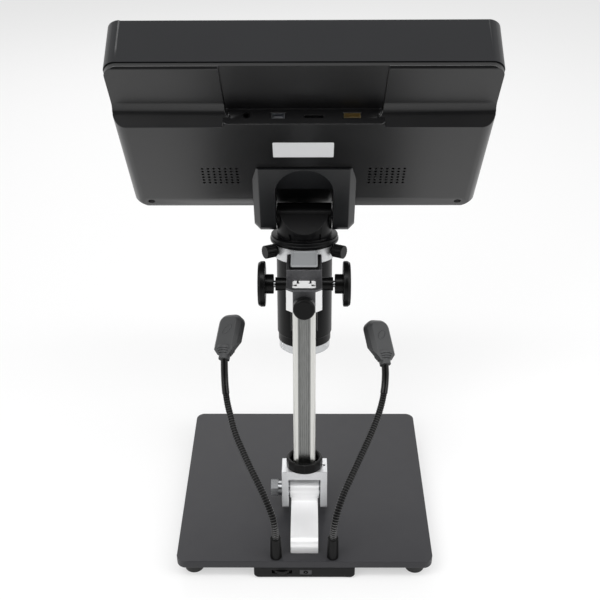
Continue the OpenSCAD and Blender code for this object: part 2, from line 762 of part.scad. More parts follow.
// flank of an involute tooth: polar points from the root to the tip, half a tooth wide
function involute_half(m, n, slack) = let (rp = m * n / 2, rb = rp * cos(20), ra = rp + m, rf = rp - 1.25 * m,
    half = 90 / n - slack / (2 * rp) * 57.3 + (tan(20) * 57.3 - 20)) concat([[rf, half]],
    [for (i = [0:5]) let (r = max(rb, rf) + (ra - max(rb, rf)) * i / 5, q = acos(min(1, rb / r)))
        [r, half - (tan(q) * 57.3 - q)]]);

module pinion_teeth(m, n, w, slack) {
    h = involute_half(m, n, slack);
    k = len(h);
    rotate([0, 90, 0]) rotate([0, 0, 90]) translate([0, 0, -w / 2]) linear_extrude(w)
        polygon([for (t = [0:n - 1], i = [0:2 * k - 1]) let (p = i < k ? h[i] : h[2 * k - 1 - i],
            a = 360 * t / n + (i < k ? -p[1] : p[1])) [p[0] * cos(a), p[0] * sin(a)]]);
}

module pinion_shaft() {
    color([0.75, 0.75, 0.77]) column_frame() translate([0, -pinion_out, pinion_up]) {
        pinion_teeth(gear_m, pinion_n, gear_w, 0.16);
        x_cylinder(shaft_d, 2 * (knob_in + knob_hub_t + knob_t - 2));
    }
}

module focus_knob(side) {
    r = knob_d / 2;
    color([0.07, 0.07, 0.07]) column_frame() translate([side * knob_in, -pinion_out, pinion_up])
        rotate([0, side * 90, 0]) rotate_extrude() polygon(concat(
            [[shaft_d / 2 + run, 0], [knob_hub_d / 2 - 0.4, 0], [knob_hub_d / 2, 0.4], [knob_hub_d / 2, knob_hub_t]],
            arc(r - 1, knob_hub_t + 1, 1, -90, 0, 3), [[r, knob_hub_t + knob_t - 2]],
            arc(r - 2, knob_hub_t + knob_t - 1.4, 1.4, 15, 90, 3),
            [[r * 0.55, knob_hub_t + knob_t], [r * 0.5, knob_hub_t + knob_t - 0.8], [0, knob_hub_t + knob_t - 0.8],
            [0, knob_hub_t + knob_t - 1.9], [shaft_d / 2 + run, knob_hub_t + knob_t - 1.9]]));
}

module focus_knob_left() {
    focus_knob(1);
}

module focus_knob_right() {
    focus_knob(-1);
}

module slide_bar() {
    color([0.1, 0.1, 0.1]) column_frame() difference() {
        translate([0, -slide_mid, slide_bottom]) rounded_slab(slide_w, slide_d, slide_len - cap_t, 2);
        translate([-slide_w, -slot_front, slot_bottom])
            cube([2 * slide_w, slot_front - slot_rear, slot_top - slot_bottom]);
    }
}

module slide_cap() {
    color([0.62, 0.62, 0.63]) column_frame() translate([0, -slide_mid, slide_top - cap_t]) difference() {
        rounded_slab(slide_w, slide_d, cap_t, 2);
        translate([0, 0, cap_t - 0.4]) rounded_slab(slide_w - 3, slide_d - 3, 1, 1);
    }
}

// straight teeth in step with the pinion, on a bar that lies in the slide's slot
module focus_rack() {
    pitch = PI * gear_m;
    tip = 0.8 * gear_m;
    root = 1.25 * gear_m;
    line = pinion_out + pitch_r;
    low = pinion_up - slot_bottom;
    high = slot_top - pinion_up;
    first = -floor(low / pitch) + 1;
    last = floor(high / pitch) - 1;
    lean_in = tan(20);
    color([0.7, 0.7, 0.72]) column_frame() translate([0, 0, pinion_up]) side_extrude(rack_w)
        polygon(concat([[-slot_front, high], [-slot_front, -low], [-line - root, -low]],
            [for (i = [first:last], q = [[-root, -1], [tip, -1], [tip, 1], [-root, 1]])
                [-line + q[0], pitch * (i + 0.5) + q[1] * (pitch / 4 - 0.04 - q[0] * lean_in)]],
            [[-line - root, high]]));
}

module ring_holder() {
    color([0.83, 0.83, 0.85]) head_frame() difference() {
        union() {
            translate([0, 0, holder_up]) rotate_extrude() polygon([[0, 0], [holder_d / 2 - 0.6, 0],
                [holder_d / 2, 0.6], [holder_d / 2, holder_h - 0.6], [holder_d / 2 - 0.6, holder_h], [0, holder_h]]);
            translate([-arm_w_slide / 2, 0, holder_up]) cube([arm_w_slide, barrel_out - slide_front, holder_h]);
        }
        translate([0, 0, holder_up - cut]) cylinder(d = holder_bore, h = holder_h + 2 * cut);
        for (a = thumb_angles) rotate([0, 0, a]) translate([0, 0, thumb_up]) rotate([90, 0, 0])
            cylinder(d = thumb_screw_d + 2 * run, h = holder_d);
    }
}

module thumb_screw(i) {
    color([0.07, 0.07, 0.07]) head_frame() rotate([0, 0, thumb_angles[i]])
        translate([0, -barrel_d / 2 - 2 * run, thumb_up]) rotate([90, 0, 0]) {
            cylinder(d = thumb_screw_d, h = 6);
            translate([0, 0, 3.4]) cylinder(d = thumb_d * 0.7, h = 2);
            translate([0, 0, 5]) fluted(thumb_d, thumb_len, 20, 0.3);
        }
}

module thumb_screw_left() {
    thumb_screw(0);
}

module thumb_screw_right() {
    thumb_screw(1);
}

module thumb_screw_front() {
    thumb_screw(2);
}

// ---------------------------------------------------------------- microscope head

module neck_side() {
    r = neck_barrel_r;
    n = neck_d / 2 + 1;
    polygon([[n, -neck_up + 4.5], [r * 0.9, r * 0.43], [-r, 0], [-r, -neck_up / 2],
        [-n, -neck_up + 1.5], [-n, -neck_up - cut], [n, -neck_up - cut]]);
}

module head_neck() {
    r = neck_d / 2;
    color([0.1, 0.1, 0.11]) head_frame() difference() {
        union() {
            translate([0, 0, flange_up]) rotate_extrude() polygon([[0, 0], [flange_d / 2 - 0.3, 0],
                [flange_d / 2, 0.3], [flange_d / 2, flange_t / 2 - 0.4], [flange_d / 2 - 0.6, flange_t / 2],
                [flange_d / 2 - 0.6, flange_t - 0.5], [flange_d / 2 - 1.1, flange_t], [0, flange_t]]);
            translate([0, 0, neck_axis]) intersection() {
                side_extrude(neck_d + 4) neck_side();
                translate([0, 0, -neck_up - 2 * cut]) cylinder(r = r, h = 2 * neck_up);
            }
            translate([0, 0, neck_axis]) x_cylinder(2 * neck_barrel_r, neck_d);
        }
        // shallow panel on the back of the neck
        translate([0, 0, neck_base + 0.01]) intersection() {
            difference() {
                cylinder(r = r + 1, h = 4.5);
                translate([0, 0, -cut]) cylinder(r = r - 1, h = 6);
            }
            translate([-12.75, 0, 0]) cube([25.5, neck_d, 6]);
        }
        translate([0, 0, flange_up - cut]) cylinder(d = 34, h = 9 + cut);
        translate([0, 0, neck_axis]) x_cylinder(pin_d + 2 * run, neck_d + 2 * cut);
    }
}

module barrel() {
    r = barrel_d / 2;
    step = barrel_bottom + 6.9;
    seat = barrel_bottom + 23;
    color([0.07, 0.07, 0.07]) head_frame() rotate_extrude() polygon([[r - 2.5, barrel_bottom],
        [r - 1.2, barrel_bottom], [r - 0.8, barrel_bottom + 0.4], [r - 0.8, step - 0.8], [r - 0.6, step - 0.8],
        [r - 0.4, step], [r, step + 0.4], [r, flange_up], [r - 2.5, flange_up], [r - 2.5, seat],
        [r - 8.5, seat - 1.5], [r - 8.5, seat - 3], [r - 2.5, seat - 5]]);
}

module light_shade() {
    r = barrel_d / 2;
    color([0.85, 0.88, 0.9]) head_frame() translate([0, 0, barrel_bottom]) rotate_extrude()
        polygon([[r - 4.6, -6.7], [r - 1.9, -6.7], [r - 1.4, -6.2], [r - 1.4, 0], [r - 2.55, 0], [r - 2.55, 3.4],
            [r - 4.6, 3.4]]);
}

module barrel_led_board() {
    r = barrel_d / 2;
    color([0.92, 0.92, 0.9]) head_frame() translate([0, 0, barrel_bottom + 3.4]) {
        difference() {
            cylinder(r = r - 2.8, h = 1.6);
            translate([0, 0, -cut]) cylinder(r = 10, h = 3);
        }
        for (i = [0:7]) rotate([0, 0, 45 * i]) translate([13.2, 0, -0.4])
            cube([2.8, 2.8, 0.82], center = true);
    }
}

module objective_lens() {
    r = barrel_d / 2 - 2.6;
    seat = barrel_bottom + 23;
    edge = 2.6;
    dome_r = 1.6 * r;
    dome_a = acos((r - 0.1) / dome_r);
    color([0.7, 0.8, 0.9]) head_frame() translate([0, 0, seat]) rotate_extrude()
        polygon(concat([[0, 0.1], [r - 0.1, 0.1]], arc(0, edge - dome_r * sin(dome_a), dome_r, dome_a, 90, 8)));
}

module sensor_board() {
    top = flange_up + 9;
    color([0.05, 0.25, 0.15]) head_frame() {
        translate([0, 0, top - 1.6]) cylinder(d = 33.4, h = 1.6);
        translate([-5, -5, top - 3]) cube([10, 10, 1.41]);
    }
}

// ---------------------------------------------------------------- monitor

module front_frame() {
    w = mon_wall;
    mid = mon_top - mon_h / 2;
    color([0.17, 0.18, 0.19]) monitor_frame() difference() {
        union() {
            difference() {
                translate([0, mon_front, mid]) upright_slab(mon_w, mon_h, front_t, mon_r);
                translate([0, mon_front + w, mid]) upright_slab(mon_w - 2 * w, mon_h - 2 * w, front_t, mon_r - w);
            }
            for (x = [-1, 1]) translate([x * boss_x, mon_front + w / 2, boss_z]) rotate([-90, 0, 0])
                cylinder(d = 7, h = front_t - w / 2);
        }
        translate([0, mon_front - cut, screen_mid]) upright_slab(screen_w, screen_h, w + 2 * cut, 2);
        for (x = button_x) translate([x, mon_front - cut, button_up]) rotate([-90, 0, 0])
            cylinder(d = button_d + 2 * head_gap, h = w + 2 * cut);
        for (x = [-1, 1]) translate([x * boss_x, seam - 12, boss_z]) rotate([-90, 0, 0])
            cylinder(d = 2.6, h = 12 + cut);
    }
}

// side profile of the cover, with the given points on its underside
module cover_outer(under) {
    bottom = cover_inset - mon_hinge_up;
    top = mon_top - cover_inset;
    foot = ramp_foot + ramp_r * sin(ramp_angle);
    polygon(concat([[seam, bottom], [seam + 1, bottom]], under, [[block_back, crease_up]],
        [for (q = arc(0, 0, ramp_r, 90 - ramp_angle, 90, 6)) [bay_back + ramp_r - q[1], foot - q[0]]],
        [[bay_back, top - 1.5], [bay_back - 1.5, top], [seam, top]]));
}

// recess under the middle of the cover, where the neck swings; wall thickens it for the inside
module neck_recess(wall) {
    low = -mon_hinge_up - cut;
    side_extrude(2 * (arm_in + wall))
        polygon([[block_back + 2 * wall + cut, recess_up + wall], [recess_back - wall, recess_up + wall],
            [recess_back - recess_slope - wall, low], [block_back + 2 * wall + cut, low]]);
}

module cover_inner() {
    w = mon_wall;
    polygon([[seam - cut, w - mon_hinge_up + 2], [seam + 0.6, w - mon_hinge_up + 2], [block_back - w, skirt_up + w / 2],
        [block_back - w, crease_up - 2], [port_floor - w + 3, port_wall - w], [port_floor - w, port_wall - w + 3],
        [port_floor - w, mon_top - 2 * w], [seam - cut, mon_top - 2 * w]]);
}

module cover_plan(inset) {
    w = mon_w / 2 - cover_inset - inset;
    r = 9;
    back = block_back - inset;
    polygon(concat([[-w, seam - 1], [w, seam - 1]], arc(w - r, back - r, r, 0, 90, 8),
        arc(-w + r, back - r, r, 90, 180, 8)));
}

module port_pocket() {
    w = port_bay_w / 2;
    narrow = w - 1.5;
    r = 3;
    translate([0, port_floor, 0]) rotate([-90, 0, 0]) mirror([0, 1, 0]) linear_extrude(back_t)
        polygon(concat([[-w, mon_top + 5]], arc(-narrow + r, port_wall + r, r, 180, 270, 4),
            arc(narrow - r, port_wall + r, r, 270, 360, 4), [[w, mon_top + 5]]));
}

module back_cover() {
    inset = 2 * cover_inset;
    mid = mon_top - mon_h / 2;
    slant = [[block_back, skirt_up]];
    belly = [[block_back - belly_in, belly_up], [block_back, skirt_up - 0.7]];
    notch = arms_out + pass_gap;
    lip_low = crease_up - 9;
    color([0.2, 0.2, 0.21]) monitor_frame() difference() {
        union() {
            intersection() {
                union() {
                    side_extrude(mon_w) cover_outer(slant);
                    side_extrude(2 * arm_in) cover_outer(belly);
                    for (x = [-1, 1]) translate([x * (mon_w / 2 + notch) / 2, 0, 0])
                        side_extrude(mon_w / 2 - notch) cover_outer(belly);
                }
                translate([0, seam - 1, mid])
                    upright_slab(mon_w - inset, mon_h - inset, back_t + 2, mon_r - cover_inset);
                translate([0, 0, -mon_hinge_up]) linear_extrude(mon_h) cover_plan(0);
            }
            translate([0, block_back - 8, (port_wall + lip_low) / 2])
                upright_slab(port_bay_w, port_wall - lip_low, 8, 3.2);
        }
        difference() {
            intersection() {
                side_extrude(mon_w) cover_inner();
                translate([0, 0, -mon_hinge_up]) linear_extrude(mon_h) cover_plan(mon_wall);
            }
            neck_recess(mon_wall);
            for (x = [-1, 1]) translate([x * boss_x, seam - 1, boss_z]) rotate([-90, 0, 0])
                cylinder(d = 8.4, h = back_t);
        }
        neck_recess(0);
        port_pocket();
        port_holes();
        for (gx = grille_x, i = [-3:3], j = [0:5])
            translate([gx + i * 4.1, block_back - 2 * mon_wall, grille_top - 3.5 * (j - 2.5)])
                rotate([-90, 0, 0]) cylinder(d = grille_hole, h = 3 * mon_wall, $fn = 16);
        for (x = [-1, 1]) translate([x * boss_x, seam + boss_seat, boss_z]) rotate([-90, 0, 0]) {
            translate([0, 0, -boss_seat - cut]) cylinder(d = 3, h = back_t);
            cylinder(d = 5.2, h = back_t);
        }
    }
}

module port_holes() {
    translate([jack_x, port_y, port_wall - 8]) cylinder(d = 5.4, h = 9);
    translate([usb_x - 4.8, port_y - 2.3, port_wall - 8]) cube([9.6, 4.8, 9]);
    translate([card_x - 6.5, port_y - 0.2, port_wall - 8]) cube([13, 2, 9]);
    translate([video_x - 6, port_y - 2.3, port_wall - 8]) cube([12, 4.7, 9]);
}

module screen_glass() {
    color([0.03, 0.03, 0.04]) monitor_frame() translate([0, mon_front + 0.2, screen_mid])
        upright_slab(screen_w - 0.3, screen_h - 0.3, mon_wall - 0.2, 1.9);
}

module lcd_panel() {
    color([0.3, 0.3, 0.32]) monitor_frame() translate([0, mon_front + mon_wall, screen_mid])
        upright_slab(screen_w + 4, screen_h + 4, panel_t, 1);
}

module main_board() {
    color([0.05, 0.3, 0.15]) monitor_frame() {
        translate([-board_w / 2, board_y, board_low]) cube([board_w, board_t, board_high - board_low]);
        // standoffs down to the panel's back
        for (x = [-1, 1], z = [board_low + 6, board_high - 5])
            translate([x * (board_w / 2 - 6), mon_front + mon_wall + panel_t, z]) rotate([-90, 0, 0])
                cylinder(d = 5, h = board_y - mon_front - mon_wall - panel_t);
        translate([-14, board_y + board_t, board_low + 16]) cube([22, 1.6, 22]);
    }
}

module audio_jack() {
    color([0.05, 0.05, 0.05]) monitor_frame() difference() {
        union() {
            translate([jack_x - 3.2, board_y + board_t, port_wall - 18]) cube([6.4, 5.6, 11.5]);
            translate([jack_x, port_y, port_wall - 7]) cylinder(d = 5.2, h = 6.8);
        }
        translate([jack_x, port_y, port_wall - 13]) cylinder(d = 3.6, h = 14);
    }
}

module shell_port(x, w, h, d) {
    translate([x - w / 2, board_y + board_t, port_wall - d - 0.3]) difference() {
        cube([w, h, d]);
        translate([0.4, 0.4, 2]) cube([w - 0.8, h - 0.8, d]);
    }
}

module usb_port() {
    color([0.78, 0.78, 0.8]) monitor_frame() shell_port(usb_x, 8.8, 4.4, 9.5);
    color([0.1, 0.1, 0.1]) monitor_frame() translate([usb_x - 3, port_y - 0.6, port_wall - 9])
        cube([6, 1.2, 7]);
}

module card_slot() {
    color([0.6, 0.6, 0.62]) monitor_frame() difference() {
        translate([card_x - 7, board_y + board_t, port_wall - 21]) cube([14, 4.4, 14.5]);
        translate([card_x - 5.6, port_y, port_wall - 19]) cube([11.2, 1.2, 14]);
    }
}

module video_port() {
    color([0.8, 0.62, 0.25]) monitor_frame() shell_port(video_x, 11.2, 4.2, 8.5);
}

module speakers() {
    color([0.15, 0.15, 0.15]) monitor_frame() for (x = grille_x)
        translate([x, block_back - mon_wall - 4, grille_top]) upright_slab(34, 22, 4, 3);
}

module cover_screws() {
    color([0.2, 0.2, 0.2]) monitor_frame() for (x = [-1, 1])
        translate([x * boss_x, seam + boss_seat, boss_z]) rotate([-90, 0, 0]) difference() {
            union() {
                cylinder(d = 4.8, h = 1.8);
                translate([0, 0, -12]) cylinder(d = 2.5, h = 12.1);
            }
            translate([0, 0, 1]) cylinder(d = 2.4, h = 1, $fn = 6);
        }
}

module key_board() {
    switch_y = mon_front + 4 + button_travel + 0.1;
    color([0.05, 0.3, 0.15]) monitor_frame() {
        translate([-72, switch_y + 1.1, button_up - 5]) cube([144, 1.2, 12.5]);
        for (x = button_x) translate([x, switch_y, button_up]) rotate([-90, 0, 0])
            cylinder(d = 3.4, h = 1.15);
    }
}

module button(i) {
    color([0.3, 0.3, 0.32]) monitor_frame() translate([button_x[i], mon_front - button_proud, button_up])
        rotate([-90, 0, 0]) rotate_extrude() polygon([[0, 0], [button_d / 2 - 0.5, 0], [button_d / 2, 0.5],
            [button_d / 2, button_proud + mon_wall + 0.3], [button_d / 2 + flange_lip, button_proud + mon_wall + 0.3],
            [button_d / 2 + flange_lip, button_proud + mon_wall + 1.1], [1.5, button_proud + mon_wall + 1.1],
            [1.5, button_proud + 4], [0, button_proud + 4]]);
}

module button_power() {
    button(0);
}

module button_menu() {
    button(1);
}

module button_capture() {
    button(2);
}

module button_mode() {
    button(3);
}

// ---------------------------------------------------------------- monitor bracket

module arm_side() {
    polygon(concat([[block_back, bracket_top], [top_back, bracket_top]], arc(0, 0, knuckle_r, face_angle, -204, 14),
        [[block_back, skirt_up]]));
}

// opening between the arms: straight sides under a half circle, along Y
module arch_gap() {
    deep = 4 * knuckle_r;
    translate([0, -deep / 2, arch_up]) rotate([-90, 0, 0]) {
        cylinder(r = arm_in, h = deep);
        translate([-arm_in, 0, 0]) cube([2 * arm_in, 80, deep]);
    }
}

module monitor_bracket() {
    c = bracket_chamfer;
    low = knuckle_r + 0.5;
    color([0.13, 0.13, 0.14]) monitor_frame() difference() {
        intersection() {
            union() {
                difference() {
                    side_extrude(2 * arms_out) arm_side();
                    arch_gap();
                }
                translate([-arms_out, block_back, bracket_plate_low])
                    cube([2 * arms_out, bracket_plate_t, bracket_top - bracket_plate_low]);
            }
            rotate([face_angle, 0, 0]) translate([0, 0, -60]) linear_extrude(150)
                polygon([[-arms_out, -60], [arms_out, -60], [arms_out, knuckle_r - c], [arms_out - c, knuckle_r + 0.01],
                    [-arms_out + c, knuckle_r + 0.01], [-arms_out, knuckle_r - c]]);
            rotate([-90, 0, 0]) translate([0, 0, -40]) linear_extrude(80)
                polygon([[-arms_out, -90], [arms_out, -90], [arms_out, low - 5.5], [arms_out - 5, low],
                    [-arms_out + 5, low], [-arms_out, low - 5.5]]);
        }
        x_cylinder(pin_d + 2 * run, 2 * (arms_out - 4.5));
    }
}

module monitor_pin() {
    color([0.7, 0.7, 0.72]) monitor_frame() x_cylinder(pin_d, 2 * (arms_out - 4.6));
}

base_plate();
base_feet();
control_box();
power_socket();
driver_board();
brightness_wheel();
foot_bracket();
foot_screws();
gooseneck_collars();
gooseneck_left();
gooseneck_right();
lamp_head_left();
lamp_head_right();
lamp_lenses();
lamp_led_boards();
clevis();
hinge_bolt();
hinge_washers();
hinge_nut();
ring_nut();
column();
column_screw();
clamp_block();
shaft_bushings();
clamp_knob();
pinion_shaft();
focus_knob_left();
focus_knob_right();
slide_bar();
focus_rack();
slide_cap();
ring_holder();
thumb_screw_left();
thumb_screw_right();
thumb_screw_front();
head_neck();
barrel();
light_shade();
objective_lens();
barrel_led_board();
sensor_board();
monitor_bracket();
monitor_pin();
back_cover();
front_frame();
screen_glass();
lcd_panel();
main_board();
audio_jack();
usb_port();
card_slot();
video_port();
speakers();
cover_screws();
key_board();
button_power();
button_menu();
button_capture();
button_mode();
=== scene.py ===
import json
import math

import bpy
from mathutils import Matrix, Vector

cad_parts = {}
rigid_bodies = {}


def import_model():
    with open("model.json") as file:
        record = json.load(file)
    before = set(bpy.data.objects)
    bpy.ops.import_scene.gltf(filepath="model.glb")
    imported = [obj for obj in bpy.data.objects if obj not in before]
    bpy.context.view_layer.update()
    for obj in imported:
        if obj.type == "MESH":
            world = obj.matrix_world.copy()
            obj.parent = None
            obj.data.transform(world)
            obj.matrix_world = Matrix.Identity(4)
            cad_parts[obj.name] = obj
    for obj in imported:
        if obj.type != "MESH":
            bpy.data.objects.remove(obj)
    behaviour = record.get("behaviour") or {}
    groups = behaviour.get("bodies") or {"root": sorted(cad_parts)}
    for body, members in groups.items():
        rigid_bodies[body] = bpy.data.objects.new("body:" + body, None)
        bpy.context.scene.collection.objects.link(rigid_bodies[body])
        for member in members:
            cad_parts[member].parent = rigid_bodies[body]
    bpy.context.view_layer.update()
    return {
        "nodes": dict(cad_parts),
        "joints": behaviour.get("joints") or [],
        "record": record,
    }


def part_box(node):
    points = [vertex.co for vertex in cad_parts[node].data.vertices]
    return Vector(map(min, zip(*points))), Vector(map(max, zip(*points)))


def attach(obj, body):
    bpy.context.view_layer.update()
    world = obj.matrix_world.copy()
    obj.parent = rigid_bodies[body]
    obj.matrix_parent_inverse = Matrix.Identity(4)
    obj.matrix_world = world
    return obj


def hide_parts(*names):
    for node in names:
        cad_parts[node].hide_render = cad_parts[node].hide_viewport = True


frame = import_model()        # bodies, nodes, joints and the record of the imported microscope
nodes = frame["nodes"]
mm = 0.001
columnLean = 10.0        # degrees that the column leans from upright, forward over the plate
monitorLean = -30.0      # degrees that the screen lies back from upright
plateLow, plateHigh = (Vector(corner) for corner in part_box("base_plate"))
plateMiddle = (plateLow.y + plateHigh.y) / 2       # the plate lies off the frame's middle
print("frame loaded:", len(nodes), "nodes")


# small helpers

def tone(red, green, blue):      # a colour as it is written on a swatch, turned into linear light
    parts = [value / 255 for value in (red, green, blue)]
    return tuple(v / 12.92 if v <= 0.04045 else ((v + 0.055) / 1.055) ** 2.4 for v in parts) + (1.0,)


def deselectAll():
    if bpy.context.object and bpy.context.object.mode != "OBJECT":
        bpy.ops.object.mode_set(mode="OBJECT")
    for item in bpy.context.view_layer.objects:
        item.select_set(False)


def activate(piece):
    deselectAll()
    piece.select_set(True)
    bpy.context.view_layer.objects.active = piece


def selectFaces(piece, test):    # face mode, by centre and normal
    bpy.ops.object.mode_set(mode="EDIT")
    bpy.ops.mesh.select_mode(type="FACE")
    bpy.ops.mesh.select_all(action="DESELECT")
    bpy.ops.object.mode_set(mode="OBJECT")
    for face in piece.data.polygons:
        face.select = bool(test(face.center, face.normal))
    bpy.ops.object.mode_set(mode="EDIT")


def selectVerts(piece, test):    # vertex mode, by place
    bpy.ops.object.mode_set(mode="EDIT")
    bpy.ops.mesh.select_mode(type="VERT")
    bpy.ops.mesh.select_all(action="DESELECT")
    bpy.ops.object.mode_set(mode="OBJECT")
    for vert in piece.data.vertices:
        vert.select = bool(test(vert.co))
    bpy.ops.object.mode_set(mode="EDIT")


def selectEdges(piece, test):    # edge mode, by the two ends
    bpy.ops.object.mode_set(mode="EDIT")
    bpy.ops.mesh.select_mode(type="EDGE")
    bpy.ops.mesh.select_all(action="DESELECT")
    bpy.ops.object.mode_set(mode="OBJECT")
    points = piece.data.vertices
    for edge in piece.data.edges:
        edge.select = bool(test(points[edge.vertices[0]].co, points[edge.vertices[1]].co))
    bpy.ops.object.mode_set(mode="EDIT")


def applyModifiers(piece):
    activate(piece)
    for modifier in list(piece.modifiers):
        bpy.ops.object.modifier_apply(modifier=modifier.name)


def placeInMesh(piece, matrix):  # the object stays at the origin, its place goes into its mesh
    piece.data.transform(matrix @ piece.matrix_basis)
    piece.matrix_basis = Matrix.Identity(4)


def addBlock(size, middle):      # a block, its size and middle in mm
    deselectAll()
    bpy.ops.mesh.primitive_cube_add(size=1)
    block = bpy.context.object
    block.scale = [value * mm for value in size]
    placeInMesh(block, Matrix.Translation([value * mm for value in middle]))
    return block


def joined(pieces):
    activate(pieces[0])
    for piece in pieces:
        piece.select_set(True)
    bpy.ops.object.join()
    return pieces[0]


def softened(piece, width, degrees=30):   # edges sharper than the angle are rounded, width in mm
    soft = piece.modifiers.new("soft", "BEVEL")
    soft.width = width * mm
    soft.segments = 2
    soft.limit_method = "ANGLE"
    soft.angle_limit = math.radians(degrees)
    applyModifiers(piece)


def carve(piece, tool, operation):        # an applied boolean, after which the tool is gone
    cut = piece.modifiers.new("cut", "BOOLEAN")
    cut.operation = operation
    cut.solver = "EXACT"
    cut.object = tool
    applyModifiers(piece)
    bpy.data.objects.remove(tool)


def smoothed(piece, degrees=32):
    activate(piece)
    bpy.ops.object.shade_smooth_by_angle(angle=math.radians(degrees))
    deselectAll()


def evenlyShaded(piece, degrees=30):      # flat faces stay flat in the light beside their rounded edges
    smoothed(piece, degrees)
    even = piece.modifiers.new("even", "WEIGHTED_NORMAL")
    even.keep_sharp = True
    even.weight = 100
    applyModifiers(piece)
    deselectAll()


def finished(piece, name, body, material, replaced=()):
    piece.name = name
    piece.data.name = name
    piece.data.materials.clear()
    piece.data.materials.append(material)
    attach(piece, body)
    if replaced:
        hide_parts(*replaced)


def jointAt(name):
    return Vector(next(joint for joint in frame["joints"] if joint["name"] == name)["pos_m"])


# shared effects, one node group each

def makeGroup(name, inputs, outputs):
    group = bpy.data.node_groups.new(name, "ShaderNodeTree")
    for label, kind, value in inputs:
        socket = group.interface.new_socket(name=label, in_out="INPUT", socket_type=kind)
        socket.default_value = value
    for label, kind in outputs:
        group.interface.new_socket(name=label, in_out="OUTPUT", socket_type=kind)
    return group, group.nodes.new("NodeGroupInput"), group.nodes.new("NodeGroupOutput")


def addNoise(group, vector, detail):
    noise = group.nodes.new("ShaderNodeTexNoise")
    noise.inputs["Detail"].default_value = detail
    group.links.new(vector, noise.inputs["Vector"])
    return noise


def addMath(group, operation, first, second, third=None):
    node = group.nodes.new("ShaderNodeMath")
    node.operation = operation
    for index, value in enumerate((first, second, third)):
        if value is None:
            continue
        if isinstance(value, (int, float)):
            node.inputs[index].default_value = value
        else:
            group.links.new(value, node.inputs[index])
    return node.outputs[0]


def addMix(group, factor, first, second):
    mix = group.nodes.new("ShaderNodeMix")
    mix.data_type = "RGBA"
    group.links.new(factor, mix.inputs["Factor"])
    for socket, value in ((mix.inputs[6], first), (mix.inputs[7], second)):
        if isinstance(value, tuple):
            socket.default_value = value
        else:
            group.links.new(value, socket)
    return mix.outputs[2]


def blended(group, given, wave, second):      # colour that the wave carries over to a second one
    return addMix(group, wave, given.outputs["Colour"], given.outputs[second])


def varied(group, given, wave):  # roughness that wanders with the wave about its middle value
    centred = addMath(group, "SUBTRACT", wave, 0.5)
    return addMath(group, "MULTIPLY_ADD", centred, given.outputs["Spread"], given.outputs["Roughness"])


def buildGrain():                # moulded or powder-coated skin: fine pits over broad, faint clouds
    group, given, result = makeGroup("mouldedGrain", [
        ("Colour", "NodeSocketColor", (0.02, 0.02, 0.02, 1)),
        ("Cloud Colour", "NodeSocketColor", (0.03, 0.03, 0.03, 1)),
        ("Grain Scale", "NodeSocketFloat", 1500.0), ("Cloud Scale", "NodeSocketFloat", 25.0),
        ("Roughness", "NodeSocketFloat", 0.4), ("Spread", "NodeSocketFloat", 0.08)],
        [("Colour", "NodeSocketColor"), ("Roughness", "NodeSocketFloat"), ("Height", "NodeSocketFloat")])
    place = group.nodes.new("ShaderNodeTexCoord").outputs["Object"]
    fine, broad = addNoise(group, place, 2.0), addNoise(group, place, 3.0)
    group.links.new(given.outputs["Grain Scale"], fine.inputs["Scale"])
    group.links.new(given.outputs["Cloud Scale"], broad.inputs["Scale"])
    group.links.new(blended(group, given, broad.outputs["Fac"], "Cloud Colour"), result.inputs["Colour"])
    group.links.new(varied(group, given, broad.outputs["Fac"]), result.inputs["Roughness"])
    group.links.new(fine.outputs["Fac"], result.inputs["Height"])
    return group


def buildBrushed():              # fine parallel lines, as on drawn or milled metal
    group, given, result = makeGroup("brushedLines", [
        ("Colour", "NodeSocketColor", (0.6, 0.6, 0.6, 1)),
        ("Line Colour", "NodeSocketColor", (0.5, 0.5, 0.5, 1)),
        ("Stretch", "NodeSocketVector", (1.0, 1.0, 1.0)), ("Roughness", "NodeSocketFloat", 0.3),
        ("Spread", "NodeSocketFloat", 0.1)],
        [("Colour", "NodeSocketColor"), ("Roughness", "NodeSocketFloat"), ("Height", "NodeSocketFloat")])
    place = group.nodes.new("ShaderNodeTexCoord").outputs["Object"]
    stretch = group.nodes.new("ShaderNodeVectorMath")
    stretch.operation = "MULTIPLY"
    group.links.new(place, stretch.inputs[0])
    group.links.new(given.outputs["Stretch"], stretch.inputs[1])
    lines = addNoise(group, stretch.outputs[0], 4.0)
    lines.inputs["Scale"].default_value = 1.0
    group.links.new(blended(group, given, lines.outputs["Fac"], "Line Colour"), result.inputs["Colour"])
    group.links.new(varied(group, given, lines.outputs["Fac"]), result.inputs["Roughness"])
    group.links.new(lines.outputs["Fac"], result.inputs["Height"])
    return group


def buildDust():                 # faint dust that settles on faces which look up
    group, given, result = makeGroup("settledDust", [
        ("Colour", "NodeSocketColor", (0.02, 0.02, 0.02, 1)),
        ("Dust Colour", "NodeSocketColor", (0.35, 0.34, 0.32, 1)),
        ("Amount", "NodeSocketFloat", 0.05), ("Scale", "NodeSocketFloat", 60.0)],
        [("Colour", "NodeSocketColor")])
    place = group.nodes.new("ShaderNodeTexCoord").outputs["Object"]
    cloud = addNoise(group, place, 6.0)
    group.links.new(given.outputs["Scale"], cloud.inputs["Scale"])
    facing = group.nodes.new("ShaderNodeSeparateXYZ")
    group.links.new(group.nodes.new("ShaderNodeNewGeometry").outputs["Normal"], facing.inputs[0])
    upward = addMath(group, "MAXIMUM", facing.outputs["Z"], 0.0)
    patchy = addMath(group, "MULTIPLY", upward, cloud.outputs["Fac"])
    mask = addMath(group, "MULTIPLY", patchy, given.outputs["Amount"])
    group.links.new(blended(group, given, mask, "Dust Colour"), result.inputs["Colour"])
    return group


groups = {"grain": buildGrain(), "brushed": buildBrushed(), "dust": buildDust()}
print("node groups built:", ", ".join(sorted(groups)))


# finishes

